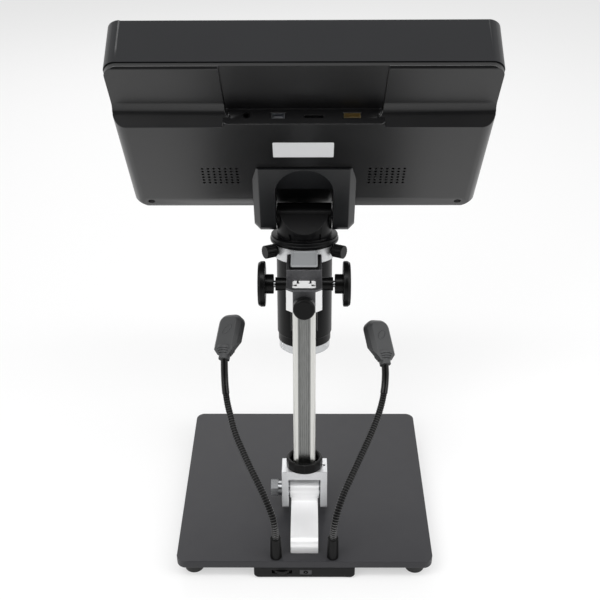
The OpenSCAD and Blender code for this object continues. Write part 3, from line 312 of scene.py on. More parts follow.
def startMaterial(name):
    material = bpy.data.materials.new(name)
    material.use_nodes = True
    return material, material.node_tree, material.node_tree.nodes["Principled BSDF"]


def placeGroup(tree, key, values):
    node = tree.nodes.new("ShaderNodeGroup")
    node.node_tree = groups[key]
    for label, value in values.items():
        node.inputs[label].default_value = value
    return node


def addBump(tree, height, shader, depth, strength):
    bump = tree.nodes.new("ShaderNodeBump")
    bump.inputs["Distance"].default_value = depth
    bump.inputs["Strength"].default_value = strength
    tree.links.new(height, bump.inputs["Height"])
    tree.links.new(bump.outputs["Normal"], shader.inputs["Normal"])


cloudScale = 25.0        # of the broad clouds in a moulded skin
dustScale = 90.0         # of the dust's patches
glassHaze = {"Grain Scale": 400.0, "Cloud Scale": 40.0, "Spread": 0.03}
glassIor = 1.5


def plasticFinish(name, look):
    material, tree, shader = startMaterial(name)
    grain = placeGroup(tree, "grain", {
        "Colour": look["colour"], "Cloud Colour": look["cloud"], "Grain Scale": look["grain"],
        "Cloud Scale": cloudScale, "Roughness": look["roughness"], "Spread": look["spread"]})
    colour = grain.outputs["Colour"]
    if look.get("dust"):
        dust = placeGroup(tree, "dust", {"Amount": look["dust"], "Scale": dustScale})
        tree.links.new(colour, dust.inputs["Colour"])
        colour = dust.outputs["Colour"]
    tree.links.new(colour, shader.inputs["Base Color"])
    tree.links.new(grain.outputs["Roughness"], shader.inputs["Roughness"])
    shader.inputs["Specular IOR Level"].default_value = look.get("gloss", 0.5)
    addBump(tree, grain.outputs["Height"], shader, look["depth"], look["strength"])
    return material


def metalFinish(name, look):
    material, tree, shader = startMaterial(name)
    shader.inputs["Metallic"].default_value = look.get("metal", 1.0)
    lines = placeGroup(tree, "brushed", {
        "Colour": look["colour"], "Line Colour": look["line"], "Stretch": look["stretch"],
        "Roughness": look["roughness"], "Spread": look["spread"]})
    tree.links.new(lines.outputs["Colour"], shader.inputs["Base Color"])
    tree.links.new(lines.outputs["Roughness"], shader.inputs["Roughness"])
    addBump(tree, lines.outputs["Height"], shader, look["depth"], look["strength"])
    return material


def glassFinish(name, look):
    material, tree, shader = startMaterial(name)
    shader.inputs["Transmission Weight"].default_value = look["clear"]
    shader.inputs["IOR"].default_value = glassIor
    haze = placeGroup(tree, "grain", {
        "Colour": look["colour"], "Cloud Colour": look["cloud"], "Roughness": look["roughness"], **glassHaze})
    tree.links.new(haze.outputs["Colour"], shader.inputs["Base Color"])
    tree.links.new(haze.outputs["Roughness"], shader.inputs["Roughness"])
    return material


plastics = {                     # grain and cloud scales per metre, depth of the pits in metres
    "housingPlastic": dict(colour=tone(13, 14, 17), cloud=tone(16, 17, 20), grain=2600.0, roughness=0.32,
                           spread=0.05, depth=0.00002, strength=0.25, gloss=0.32),
    "coverPlastic": dict(colour=tone(8, 8, 9), cloud=tone(11, 11, 12), grain=2600.0, roughness=0.3,
                         spread=0.05, depth=0.00002, strength=0.2, gloss=0.55),
    "bracketPlastic": dict(colour=tone(15, 16, 18), cloud=tone(18, 19, 21), grain=2200.0, roughness=0.33,
                           spread=0.06, depth=0.00003, strength=0.3, gloss=0.45),
    "platePaint": dict(colour=tone(42, 42, 45), cloud=tone(47, 47, 50), grain=1700.0, roughness=0.46,
                       spread=0.08, depth=0.00004, strength=0.4, dust=0.02, gloss=0.3),
    "knobPlastic": dict(colour=tone(8, 8, 8), cloud=tone(11, 11, 11), grain=2400.0, roughness=0.3,
                        spread=0.08, depth=0.00003, strength=0.3, gloss=0.16),
    "barrelPaint": dict(colour=tone(5, 5, 6), cloud=tone(8, 8, 9), grain=2400.0, roughness=0.34,
                        spread=0.06, depth=0.00003, strength=0.3, gloss=0.14),
    "hoseRubber": dict(colour=tone(8, 8, 8), cloud=tone(11, 11, 11), grain=1800.0, roughness=0.26,
                       spread=0.08, depth=0.00003, strength=0.3, gloss=0.32),
    "collarPlastic": dict(colour=tone(9, 9, 9), cloud=tone(12, 12, 12), grain=2000.0, roughness=0.4,
                          spread=0.08, depth=0.00003, strength=0.3, gloss=0.14),
    "boxPlastic": dict(colour=tone(15, 15, 16), cloud=tone(19, 19, 20), grain=1800.0, roughness=0.45,
                       spread=0.08, depth=0.00003, strength=0.3, gloss=0.14),
    "lampPlastic": dict(colour=tone(50, 51, 52), cloud=tone(56, 57, 58), grain=1500.0, roughness=0.5,
                        spread=0.08, depth=0.00005, strength=0.45),
    "footRubber": dict(colour=tone(20, 20, 20), cloud=tone(25, 25, 25), grain=900.0, roughness=0.75,
                       spread=0.1, depth=0.00005, strength=0.4, dust=0.05),
    "boardGreen": dict(colour=tone(14, 74, 44), cloud=tone(20, 84, 50), grain=700.0, roughness=0.4,
                       spread=0.1, depth=0.00002, strength=0.2),
    "softWhite": dict(colour=tone(222, 224, 226), cloud=tone(232, 234, 235), grain=1200.0, roughness=0.42,
                      spread=0.08, depth=0.00002, strength=0.2),
    "labelPaper": dict(colour=tone(222, 223, 224), cloud=tone(230, 231, 232), grain=900.0, roughness=0.5,
                       spread=0.08, depth=0.00002, strength=0.2),
    "socketGrey": dict(colour=tone(44, 44, 46), cloud=tone(52, 52, 54), grain=1500.0, roughness=0.45,
                       spread=0.08, depth=0.00003, strength=0.3),
    "ledYellow": dict(colour=tone(240, 226, 150), cloud=tone(246, 238, 190), grain=900.0, roughness=0.4,
                      spread=0.08, depth=0.00002, strength=0.2),
    "capPaint": dict(colour=tone(150, 152, 154), cloud=tone(162, 164, 166), grain=1300.0, roughness=0.5,
                     spread=0.1, depth=0.00004, strength=0.4),
}
metals = {                       # stretch of the lines along X, Y and Z, per metre
    "anodisedSilver": dict(colour=tone(228, 229, 230), line=tone(212, 213, 215),
                           stretch=(900.0, 900.0, 900.0), metal=0.7,
                           roughness=0.42, spread=0.1, depth=0.00002, strength=0.2),
    "bracketSilver": dict(colour=tone(250, 250, 250), line=tone(242, 242, 243),
                          stretch=(2400.0, 40.0, 2400.0), metal=0.35,
                          roughness=0.42, spread=0.12, depth=0.00002, strength=0.2),
    "plainSteel": dict(colour=tone(176, 177, 178), line=tone(146, 148, 150), stretch=(40.0, 2200.0, 2200.0),
                       roughness=0.28, spread=0.12, depth=0.00002, strength=0.2),
    "ribMetal": dict(colour=tone(104, 104, 104), line=tone(76, 76, 76), stretch=(1200.0, 1200.0, 1200.0),
                     roughness=0.3, spread=0.1, depth=0.00001, strength=0.15),
    "portMetal": dict(colour=tone(206, 208, 212), line=tone(184, 186, 190), stretch=(1500.0, 200.0, 1500.0),
                      roughness=0.3, spread=0.1, depth=0.00001, strength=0.15),
    "portBrass": dict(colour=tone(200, 186, 150), line=tone(180, 166, 130), stretch=(1500.0, 200.0, 1500.0),
                      roughness=0.32, spread=0.1, depth=0.00001, strength=0.15),
}
glasses = {
    "screenGlass": dict(colour=tone(8, 9, 12), cloud=tone(10, 11, 14), clear=0.0, roughness=0.06),
    "lensGlass": dict(colour=tone(190, 214, 230), cloud=tone(200, 220, 235), clear=0.9, roughness=0.03),
    "shadeClear": dict(colour=tone(228, 230, 232), cloud=tone(236, 238, 240), clear=0.25, roughness=0.22),
}
finishes = {name: plasticFinish(name, look) for name, look in plastics.items()}
finishes.update({name: metalFinish(name, look) for name, look in metals.items()})
finishes.update({name: glassFinish(name, look) for name, look in glasses.items()})
print("finishes made:", len(finishes))


# clamp block, darker on the middle of its rear face and on its top step, and drawn column with painted shade
# in its groove and a painted highlight on its sawn end

def columnAxis():
    lean = math.radians(columnLean)
    return Vector((0, -math.sin(lean), math.cos(lean)))


def heightAlong(tree, place):    # how far along the column a point lies, in metres
    reach = tree.nodes.new("ShaderNodeVectorMath")
    reach.operation = "DOT_PRODUCT"
    tree.links.new(place, reach.inputs[0])
    reach.inputs[1].default_value = columnAxis()
    return reach.outputs["Value"]


def sideways(tree, place):       # how far to either side of the middle a point lies, in metres
    axes = tree.nodes.new("ShaderNodeSeparateXYZ")
    tree.links.new(place, axes.inputs[0])
    return addMath(tree, "ABSOLUTE", axes.outputs["X"], None)


blockLook = {
    "darkMiddle": (tone(66, 66, 68), tone(112, 112, 114)),      # darker, speckled middle between the machined edges
    "milled": tone(232, 232, 232),
    "darkMiddleHalf": 8.0,             # half the width that stays darker in the middle of the rear face, mm
    "stepUp": 169.6,             # foot of the darker top step along the column, from the hinge, mm
    "speck": 1400.0,
    "metal": 0.8,
    "roughness": 0.5,            # of the darker middle
    "polish": -0.16,             # how the machined edges' roughness differs from it
    "depth": 0.00005,
    "strength": 0.5,
}


def blockFinish(name, look):
    material, tree, shader = startMaterial(name)
    place = tree.nodes.new("ShaderNodeTexCoord").outputs["Object"]
    edge = addMath(tree, "GREATER_THAN", sideways(tree, place), look["darkMiddleHalf"] * mm)
    step = columnAxis().dot(jointAt("column_tilt")) + look["stepUp"] * mm
    below = addMath(tree, "LESS_THAN", heightAlong(tree, place), step)
    mask = addMath(tree, "MULTIPLY", edge, below)
    specks = addNoise(tree, place, 3.0)
    specks.inputs["Scale"].default_value = look["speck"]
    # the middle of the rear face and the top step are made darker, with specks
    darkMiddle = addMix(tree, specks.outputs["Fac"], *look["darkMiddle"])
    tree.links.new(addMix(tree, mask, darkMiddle, look["milled"]), shader.inputs["Base Color"])
    tree.links.new(addMath(tree, "MULTIPLY_ADD", mask, look["polish"], look["roughness"]),
                   shader.inputs["Roughness"])
    shader.inputs["Metallic"].default_value = look["metal"]
    addBump(tree, specks.outputs["Fac"], shader, look["depth"], look["strength"])
    return material


finishes["blockDarkMiddle"] = blockFinish("blockDarkMiddle", blockLook)

columnLook = {
    "edge": tone(214, 214, 210),           # the smooth corners of the extrusion
    "grooveShade": (tone(112, 113, 112), tone(158, 159, 157)),    # painted shade: the drawn groove made darker, in fine lines
    "end": tone(250, 250, 250),            # painted highlight: the sawn end made near white
    "grooveHalf": 4.6,
    "endDepth": 0.6,
    "lines": (2400.0, 900.0, 14.0),
    "roughness": 0.32,
    "spread": 0.16,
    "metal": 1.0,
    "sawnMetal": -0.9,           # how the sawn end's metal look differs from it, so that its painted highlight shows as plain white
    "depth": 0.00003,
    "strength": 0.3,
}


def columnFinish(name, look):
    material, tree, shader = startMaterial(name)
    top = max(columnAxis().dot(vert.co) for vert in nodes["column"].data.vertices)
    place = tree.nodes.new("ShaderNodeTexCoord").outputs["Object"]
    grooved = addMath(tree, "LESS_THAN", sideways(tree, place), look["grooveHalf"] * mm)
    sawn = addMath(tree, "GREATER_THAN", heightAlong(tree, place), top - look["endDepth"] * mm)
    drawn = placeGroup(tree, "brushed", {
        "Colour": look["grooveShade"][0], "Line Colour": look["grooveShade"][1], "Stretch": look["lines"],
        "Roughness": look["roughness"], "Spread": look["spread"]})
    # painted shade: the groove is coloured darker than the edges
    body = addMix(tree, grooved, look["edge"], drawn.outputs["Colour"])
    # painted highlight: the sawn end is coloured near white
    tree.links.new(addMix(tree, sawn, body, look["end"]), shader.inputs["Base Color"])
    tree.links.new(drawn.outputs["Roughness"], shader.inputs["Roughness"])
    tree.links.new(addMath(tree, "MULTIPLY_ADD", sawn, look["sawnMetal"], look["metal"]),
                   shader.inputs["Metallic"])
    addBump(tree, drawn.outputs["Height"], shader, look["depth"], look["strength"])
    return material


finishes["columnDrawn"] = columnFinish("columnDrawn", columnLook)

nodeFinish = {                   # finish of each CAD node
    "base_plate": "platePaint", "base_feet": "footRubber", "control_box": "boxPlastic",
    "power_socket": "socketGrey", "driver_board": "boardGreen", "brightness_wheel": "knobPlastic",
    "foot_bracket": "bracketSilver", "foot_screws": "plainSteel", "gooseneck_collars": "collarPlastic",
    "gooseneck_left": "hoseRubber", "gooseneck_right": "hoseRubber", "lamp_head_left": "lampPlastic",
    "lamp_head_right": "lampPlastic", "lamp_lenses": "shadeClear", "lamp_led_boards": "ledYellow",
    "clevis": "anodisedSilver", "hinge_bolt": "plainSteel", "hinge_washers": "plainSteel",
    "hinge_nut": "plainSteel", "ring_nut": "knobPlastic", "column": "columnDrawn",
    "column_screw": "plainSteel", "clamp_block": "blockDarkMiddle", "shaft_bushings": "knobPlastic",
    "clamp_knob": "knobPlastic", "pinion_shaft": "plainSteel", "focus_knob_left": "knobPlastic",
    "focus_knob_right": "knobPlastic", "slide_bar": "barrelPaint", "focus_rack": "plainSteel",
    "slide_cap": "capPaint", "ring_holder": "anodisedSilver", "thumb_screw_left": "knobPlastic",
    "thumb_screw_right": "knobPlastic", "thumb_screw_front": "knobPlastic", "head_neck": "barrelPaint",
    "barrel": "barrelPaint", "light_shade": "shadeClear", "objective_lens": "lensGlass",
    "barrel_led_board": "softWhite", "sensor_board": "boardGreen", "monitor_bracket": "bracketPlastic",
    "monitor_pin": "plainSteel", "back_cover": "coverPlastic", "front_frame": "housingPlastic",
    "screen_glass": "screenGlass", "lcd_panel": "socketGrey", "main_board": "boardGreen",
    "audio_jack": "knobPlastic", "usb_port": "portMetal", "card_slot": "portMetal",
    "video_port": "portBrass", "speakers": "barrelPaint", "cover_screws": "knobPlastic",
    "key_board": "boardGreen", "button_power": "housingPlastic", "button_menu": "housingPlastic",
    "button_capture": "housingPlastic", "button_mode": "housingPlastic",
}
for nodeName, finishName in nodeFinish.items():
    carried = nodes[nodeName]
    carried.data.materials.clear()
    carried.data.materials.append(finishes[finishName])
    smoothed(carried)
print("CAD nodes dressed:", len(nodeFinish))


def monitorPlace():              # frame on the monitor's hinge: Z up the screen, Y out of its back
    return Matrix.Translation(jointAt("monitor_tilt")) @ Matrix.Rotation(math.radians(monitorLean), 4, "X")


# trimming tools, in the monitor's own frame, mm

coverTrim = {
    "half": 128.5,
    "front": -26.0,
    "rear": 2.0,
    "top": 160.0,
    "slant": ((-19.3, -16.7), (-5.4, 5.2)),       # underside of the cover, as (Y, Z)
    "corner": 14.0,              # radius of the lower corners
    "steps": 12,
    "flare": 1.02,               # the rounding grows smaller towards the seam: wider there by this factor,
    "fall": 3.0,                 # and lower by this
}
armTrim = {
    "out": 37.8,                 # outer face of an arm, from the middle
    "radius": 11.0,              # round end of an arm
    "chamfer": 4.7,
    "faceTurn": 14.0,            # degrees from the arm's rear face to the screen
    "reach": 20.0,
    "spare": 1.2,                # how far the tool stands out of the faces that it cuts
    "sides": 96,
}


def coverBlank():
    look = coverTrim
    (y1, z1), (y2, z2) = look["slant"]
    slope = (z2 - z1) / (y2 - y1)
    frontLow, rearLow = (z1 + (y - y1) * slope for y in (look["front"], look["rear"]))
    blank = addBlock((2 * look["half"], look["rear"] - look["front"], look["top"] - frontLow),
                     (0, (look["front"] + look["rear"]) / 2, (look["top"] + frontLow) / 2))
    selectVerts(blank, lambda at: at.z < 0 and at.y > look["rear"] / 2 * mm)
    bpy.ops.transform.translate(value=(0, 0, (rearLow - frontLow) * mm))
    selectEdges(blank, lambda a, b: abs(a.y - b.y) > 10 * mm and max(a.z, b.z) < (rearLow + 1) * mm)
    bpy.ops.mesh.bevel(offset=look["corner"] * mm, segments=look["steps"], profile=0.5, affect="EDGES")
    selectVerts(blank, lambda at: at.y < (look["front"] + 1) * mm)
    bpy.ops.transform.resize(value=(look["flare"], 1, 1), center_override=(0, 0, 0))
    bpy.ops.transform.translate(value=(0, 0, -look["fall"] * mm))
    bpy.ops.object.mode_set(mode="OBJECT")
    blank.data.transform(monitorPlace())
    return blank


def knuckleTool(side):           # what the bevel round the end of one arm takes away
    look = armTrim
    spare, sides = look["spare"] * mm, look["sides"]
    inner, wide = (look["out"] - look["chamfer"]) * mm, look["radius"] * mm
    deep, quarter = look["chamfer"] * mm, (0, side * math.pi / 2, 0)
    deselectAll()
    bpy.ops.mesh.primitive_cylinder_add(vertices=sides, radius=look["reach"] * mm,
                                        depth=deep + spare, rotation=quarter,
                                        location=(side * (inner + (deep + spare) / 2), 0, 0))
    tool = bpy.context.object
    placeInMesh(tool, Matrix.Identity(4))
    deselectAll()
    bpy.ops.mesh.primitive_cone_add(vertices=sides, radius1=wide + spare, radius2=wide - deep - spare,
                                    depth=deep + 2 * spare, rotation=quarter,
                                    location=(side * (inner + deep / 2), 0, 0))
    shadeCore = bpy.context.object
    placeInMesh(shadeCore, Matrix.Identity(4))
    carve(tool, shadeCore, "DIFFERENCE")
    turn = math.radians(look["faceTurn"])
    activate(tool)
    bpy.ops.object.mode_set(mode="EDIT")
    bpy.ops.mesh.select_all(action="SELECT")
    bpy.ops.mesh.bisect(plane_co=(0, 0, 0), plane_no=(0, -math.sin(turn), math.cos(turn)), use_fill=True,
                        clear_outer=True)
    bpy.ops.object.mode_set(mode="OBJECT")
    tool.data.transform(monitorPlace())
    return tool


# softened shells: merged copies of the main solids with worn, rounded edges

softShells = {                   # node: width of the rounding in mm, its steps, least angle of an edge
    "front_frame": (0.8, 3, 40),
    "back_cover": (0.45, 2, 40),
    "monitor_bracket": (0.5, 2, 14),
    "clamp_block": (0.45, 2, 30),
    "clevis": (0.5, 2, 40),
    "foot_bracket": (0.5, 2, 40),
    "base_plate": (0.6, 2, 40),
    "control_box": (0.4, 2, 40),
    "head_neck": (0.3, 2, 40),
    "ring_nut": (0.25, 2, 25),
}
mergeGap = 0.002                 # points closer than this are one, mm
flatAngle = 0.3                  # degrees below which two faces are one
shortEdge = 2.2                  # edges shorter than this many roundings stay crisp
bodyOf = {part: body for body, parts in frame["record"]["behaviour"]["bodies"].items() for part in parts}


def softShell(nodeName, width, steps, angle):
    activate(nodes[nodeName])
    bpy.ops.object.duplicate()
    piece = bpy.context.object
    bpy.ops.object.mode_set(mode="EDIT")
    bpy.ops.mesh.select_mode(type="EDGE")
    bpy.ops.mesh.select_all(action="SELECT")
    bpy.ops.mesh.remove_doubles(threshold=mergeGap * mm)
    bpy.ops.mesh.dissolve_limited(angle_limit=math.radians(flatAngle))
    bpy.ops.object.mode_set(mode="OBJECT")
    if nodeName == "back_cover":
        carve(piece, coverBlank(), "INTERSECT")
    activate(piece)
    bpy.ops.object.mode_set(mode="EDIT")
    bpy.ops.mesh.select_mode(type="EDGE")
    bpy.ops.mesh.select_all(action="DESELECT")
    bpy.ops.mesh.edges_select_sharp(sharpness=math.radians(angle))
    bpy.ops.object.mode_set(mode="OBJECT")
    points = piece.data.vertices
    for edge in piece.data.edges:    # holes and other fine work keep their crisp edges
        ends = [points[index].co for index in edge.vertices]
        if (ends[0] - ends[1]).length < shortEdge * width * mm:
            edge.select = False
    bpy.ops.object.mode_set(mode="EDIT")
    bpy.ops.mesh.bevel(offset=width * mm, segments=steps, profile=0.5, affect="EDGES", clamp_overlap=False)
    bpy.ops.mesh.select_all(action="SELECT")
    bpy.ops.mesh.remove_doubles(threshold=mergeGap * mm)
    bpy.ops.object.mode_set(mode="OBJECT")
    if nodeName == "monitor_bracket":
        for side in (-1, 1):
            carve(piece, knuckleTool(side), "DIFFERENCE")
    finished(piece, nodeName + "_soft", bodyOf[nodeName], finishes[nodeFinish[nodeName]],
             (nodeName,))
    evenlyShaded(piece)


for shellNode, shellLook in softShells.items():
    softShell(shellNode, *shellLook)
print("softened shells:", len(softShells))


# raised lip behind the ports, with rounded corners

lipLook = {                      # in the monitor's own frame, mm
    "half": 54.5,
    "front": -12.2,
    "rear": -4.28,
    "low": 103.3,
    "high": 106.52,
    "corner": 3.4,
    "soft": 0.5,                 # rounding of the upper edge
    "portsHalf": 49.0,           # the ports' wall stays open between the lip's two ends
    "portsRear": -9.2,
    "roomDepth": 10.0,           # size of the tool that opens it
    "roomHeight": 20.0,
}


def makePortLip():
    look = lipLook
    lip = addBlock((2 * look["half"], look["rear"] - look["front"], look["high"] - look["low"]),
                   (0, (look["rear"] + look["front"]) / 2, (look["high"] + look["low"]) / 2))
    selectEdges(lip, lambda a, b: abs(a.z - b.z) > 1 * mm and min(a.y, b.y) > (look["rear"] - 1) * mm)
    bpy.ops.mesh.bevel(offset=look["corner"] * mm, segments=8, affect="EDGES")
    selectEdges(lip, lambda a, b: min(a.z, b.z) > (look["high"] - 0.1) * mm)
    bpy.ops.mesh.bevel(offset=look["soft"] * mm, segments=3, affect="EDGES")
    room = addBlock((2 * look["portsHalf"], look["roomDepth"], look["roomHeight"]),
                    (0, look["portsRear"] - look["roomDepth"] / 2, look["high"]))
    carve(lip, room, "DIFFERENCE")
    lip.data.transform(monitorPlace())
    finished(lip, "port_lip", "monitor", finishes["coverPlastic"])
    evenlyShaded(lip)


makePortLip()
print("port lip made")


# gooseneck hoses: a ribbed metal hose below, a smooth sleeve over its upper end

hoseLook = {
    "pitch": 1.9,                # from rib to rib, mm
    "ribRadius": 2.65,
    "ribRound": 0.55,            # half the depth of a rib
    "ribWide": 0.26,             # half the width of a rib
    "shadeCoreRadius": 2.35,          # painted shade: a dark core tube that stands for the shade between the ribs
    "shadeCoreSteps": 50,
    "shadeCoreEnd": 2.0,              # how far the shade core runs on inside the sleeve
    "sleeveRadius": 2.75,
    "sleeveSteps": 22,
    "sides": 24,
    "mergeGap": 0.01,
    "routeSteps": 24,            # pieces from knot to knot of the route
    "start": 3.0,                # length hidden in the collar
    "routeRear": 85.0,           # rear edge of the plate in the routes' own frame
}
hoseRoutes = {                   # knots of the route in mm, and the length at which the sleeve starts
    "left": ([(21, 79.5, 34), (21.2, 79.5, 42), (21.8, 79.2, 49), (23, 77, 55), (25.5, 73, 60.5),
              (29, 67.5, 66.5), (34.5, 59, 73.5), (40, 50, 79.5), (46, 39, 86), (51.5, 28.5, 93),
              (55.5, 17.5, 101), (58, 10, 107), (59.6, 3, 115), (60.3, -3.5, 123), (60.5, -10, 134)], 121.0),
    "right": ([(-21, 79.5, 34), (-21.2, 79.5, 42), (-22, 78.8, 50), (-23.6, 75.5, 57), (-25.7, 71.3, 62),
               (-29, 65, 68), (-32.5, 59, 72.5), (-38, 49, 78.5), (-43.5, 39, 84.5), (-49, 28.5, 90.5),
               (-53.5, 19.5, 96), (-57.5, 10.5, 103), (-60, 3, 110.5), (-61.3, -5, 120), (-61, -10, 129)],
              122.0),
}
routeShift = Vector((0, plateHigh.y / mm - hoseLook["routeRear"], 0))


def addRoute(points):
    bpy.ops.curve.primitive_bezier_curve_add(location=(0, 0, 0))
    route = bpy.context.object
    spline = route.data.splines[0]
    spline.bezier_points.add(len(points) - 2)
    for knot, point in zip(spline.bezier_points, points):
        knot.co = (Vector(point) + routeShift) * mm
        knot.handle_left_type = knot.handle_right_type = "AUTO"
    route.data.resolution_u = hoseLook["routeSteps"]
    route.data.twist_mode = "MINIMUM"
    return route, spline.calc_length() / mm


def alongRoute(piece, route, step, count):
    if count > 1:
        rows = piece.modifiers.new("rows", "ARRAY")
        rows.use_relative_offset = False
        rows.use_constant_offset = True
        rows.constant_offset_displace = (step * mm, 0, 0)
        rows.count = count
        rows.use_merge_vertices = True
        rows.merge_threshold = hoseLook["mergeGap"] * mm
    bend = piece.modifiers.new("bend", "CURVE")
    bend.object = route
    bend.deform_axis = "POS_X"
    applyModifiers(piece)


def makeTube(route, radius, low, high, steps):     # closed round tube along the route
    step = (high - low) / steps
    deselectAll()
    bpy.ops.mesh.primitive_cylinder_add(vertices=hoseLook["sides"], radius=radius * mm, depth=step * mm,
                                        end_fill_type="NOTHING", rotation=(0, math.pi / 2, 0))
    tube = bpy.context.object
    placeInMesh(tube, Matrix.Translation(((low + step / 2) * mm, 0, 0)))
    alongRoute(tube, route, step, steps)
    activate(tube)
    bpy.ops.object.mode_set(mode="EDIT")
    bpy.ops.mesh.select_all(action="SELECT")
    bpy.ops.mesh.remove_doubles(threshold=hoseLook["mergeGap"] * mm)
    bpy.ops.mesh.normals_make_consistent(inside=False)
    bpy.ops.mesh.fill_holes(sides=hoseLook["sides"])
    bpy.ops.object.mode_set(mode="OBJECT")
    return tube


def makeHose(side):
    points, sleeveFrom = hoseRoutes[side]
    look = hoseLook
    deselectAll()
    route, length = addRoute(points)
    start = look["start"]
    deselectAll()
    bpy.ops.mesh.primitive_torus_add(location=(0, 0, 0), rotation=(0, math.pi / 2, 0),
                                     major_segments=20, minor_segments=8,
                                     major_radius=(look["ribRadius"] - look["ribRound"]) * mm,
                                     minor_radius=look["ribRound"] * mm)
    ribs = bpy.context.object
    ribs.scale = (1, 1, look["ribWide"] / look["ribRound"])
    placeInMesh(ribs, Matrix.Translation((start * mm, 0, 0)))
    alongRoute(ribs, route, look["pitch"], int((sleeveFrom - start) / look["pitch"]) + 1)
    # painted shade: a dark tube under the ribs stands for the shade between them
    shadeCore = makeTube(route, look["shadeCoreRadius"], start, sleeveFrom + look["shadeCoreEnd"], look["shadeCoreSteps"])
    sleeve = makeTube(route, look["sleeveRadius"], sleeveFrom, length, look["sleeveSteps"])
    bpy.data.objects.remove(route)
    node = "gooseneck_" + side
    for piece, part, finish in ((ribs, "_ribs", "ribMetal"), (shadeCore, "_shadeCore", "collarPlastic"),
                                (sleeve, "_sleeve", "hoseRubber")):
        finished(piece, node + part, "base", finishes[finish], (node,))
        smoothed(piece, 50)


for hoseSide in hoseRoutes:
    makeHose(hoseSide)
print("gooseneck hoses made")


# lamp heads: a tapered, facetted pad with stepped rings at its neck

lampLook = {
    "ends": {"left": (60.5, -10, 134), "right": (-61, -10, 129)},     # where the two hoses end
    "turn": {"left": -10.0, "right": 12.0},
    "rise": 31.0,
    "roll": {"left": 21.0, "right": -21.0},
    "width": 20.0,
    "thick": 9.0,
    "near": 7.4,                 # from the hose's end to the pad
    "far": 35.6,                 # from the hose's end to the pad's tip
    "underCut": 7.0,             # how much later the underside starts
    "neckScale": (0.46, 0.35, 0.62),       # the pad's end narrows to the neck by these factors
    "neckFrom": -1.5,
    "facet": 4.3,
    "corner": 7.0,
    "soft": 0.55,
    "softAngle": 24,
    "rings": [                   # radius, from, to
        (6.9, -8.6, -5.9), (6.1, -6.2, -4.3), (5.3, -4.6, -2.7), (4.3, -3.0, 1.6)],
    "ringSoft": 0.35,
    "ringSides": 40,
}
rimLook = {"radius": 2.3, "thick": 0.32, "longer": 2.0, "back": -22.0, "turn": -42.0}
lensLook = {
    "size": (14.0, 17.0),
    "soft": 0.35,
    "layers": [                  # piece, node, how far it stands out, share of the size, thickness, finish
        ("lamp_windows", "lamp_lenses", 0.3, 1.0, 1.4, "shadeClear"),
        ("lamp_boards", "lamp_led_boards", -0.2, 0.9, 0.8, "ledYellow"),
    ],
}


def lampPlace(side):
    look = lampLook
    turn = Matrix.Rotation(math.radians(look["turn"][side]), 4, "Z")
    rise = Matrix.Rotation(math.radians(-look["rise"]), 4, "X")
    roll = Matrix.Rotation(math.radians(look["roll"][side]), 4, "Y")
    return Matrix.Translation((Vector(look["ends"][side]) + routeShift) * mm) @ turn @ rise @ roll


def lampPad():
    look = lampLook
    near, far, high = -look["near"] * mm, -look["far"] * mm, look["thick"] / 2 * mm
    nearly = 0.1 * mm
    pad = addBlock((look["width"], look["far"] - look["near"], look["thick"]),
                   (0, -(look["near"] + look["far"]) / 2, 0))
    selectVerts(pad, lambda at: at.y > near - nearly and at.z < 0)
    bpy.ops.transform.translate(value=(0, -look["underCut"] * mm, 0))
    selectFaces(pad, lambda middle, normal: normal.y > 0.5)
    bpy.ops.mesh.extrude_region_move(TRANSFORM_OT_translate={"value": (0, look["near"] * mm, 0)})
    bpy.ops.transform.resize(value=look["neckScale"], center_override=(0, look["neckFrom"] * mm, 0))
    selectEdges(pad, lambda a, b: max(a.y, b.y) < far + nearly and abs(a.z - b.z) > high)
    bpy.ops.mesh.bevel(offset=look["corner"] * mm, segments=7, profile=0.5, affect="EDGES")
    selectEdges(pad, lambda a, b: min(a.z, b.z) > high - nearly and max(a.y, b.y) < near + nearly
                and min(a.y, b.y) <= near - nearly)
    bpy.ops.mesh.bevel(offset=look["facet"] * mm, segments=1, affect="EDGES", offset_type="WIDTH")
    bpy.ops.object.mode_set(mode="OBJECT")
    softened(pad, look["soft"], look["softAngle"])
    return pad


def lampRings():
    look = lampLook
    rings = []
    for radius, low, high in look["rings"]:
        deselectAll()
        bpy.ops.mesh.primitive_cylinder_add(vertices=look["ringSides"], radius=radius * mm,
                                            depth=(high - low) * mm, rotation=(math.pi / 2, 0, 0),
                                            location=(0, (low + high) / 2 * mm, 0))
        ring = bpy.context.object
        placeInMesh(ring, Matrix.Identity(4))
        softened(ring, look["ringSoft"])
        rings.append(ring)
    return rings


def lampRim():                   # raised rim of the touch switch on the back
    look = rimLook
    deselectAll()
    bpy.ops.mesh.primitive_torus_add(major_segments=36, minor_segments=8, major_radius=look["radius"] * mm,
                                     minor_radius=look["thick"] * mm)
    rim = bpy.context.object
    rim.scale = (1.0, look["longer"], 1.0)
    place = Matrix.Translation((0, look["back"] * mm, lampLook["thick"] / 2 * mm))
    placeInMesh(rim, place @ Matrix.Rotation(math.radians(look["turn"]), 4, "Z"))
    return rim


def makeLamp(side):
    lamp = joined([lampPad()] + lampRings() + [lampRim()])
    lamp.data.transform(lampPlace(side))
    node = "lamp_head_" + side
    finished(lamp, node + "_shell", "base", finishes["lampPlastic"], (node,))
    evenlyShaded(lamp, 28)


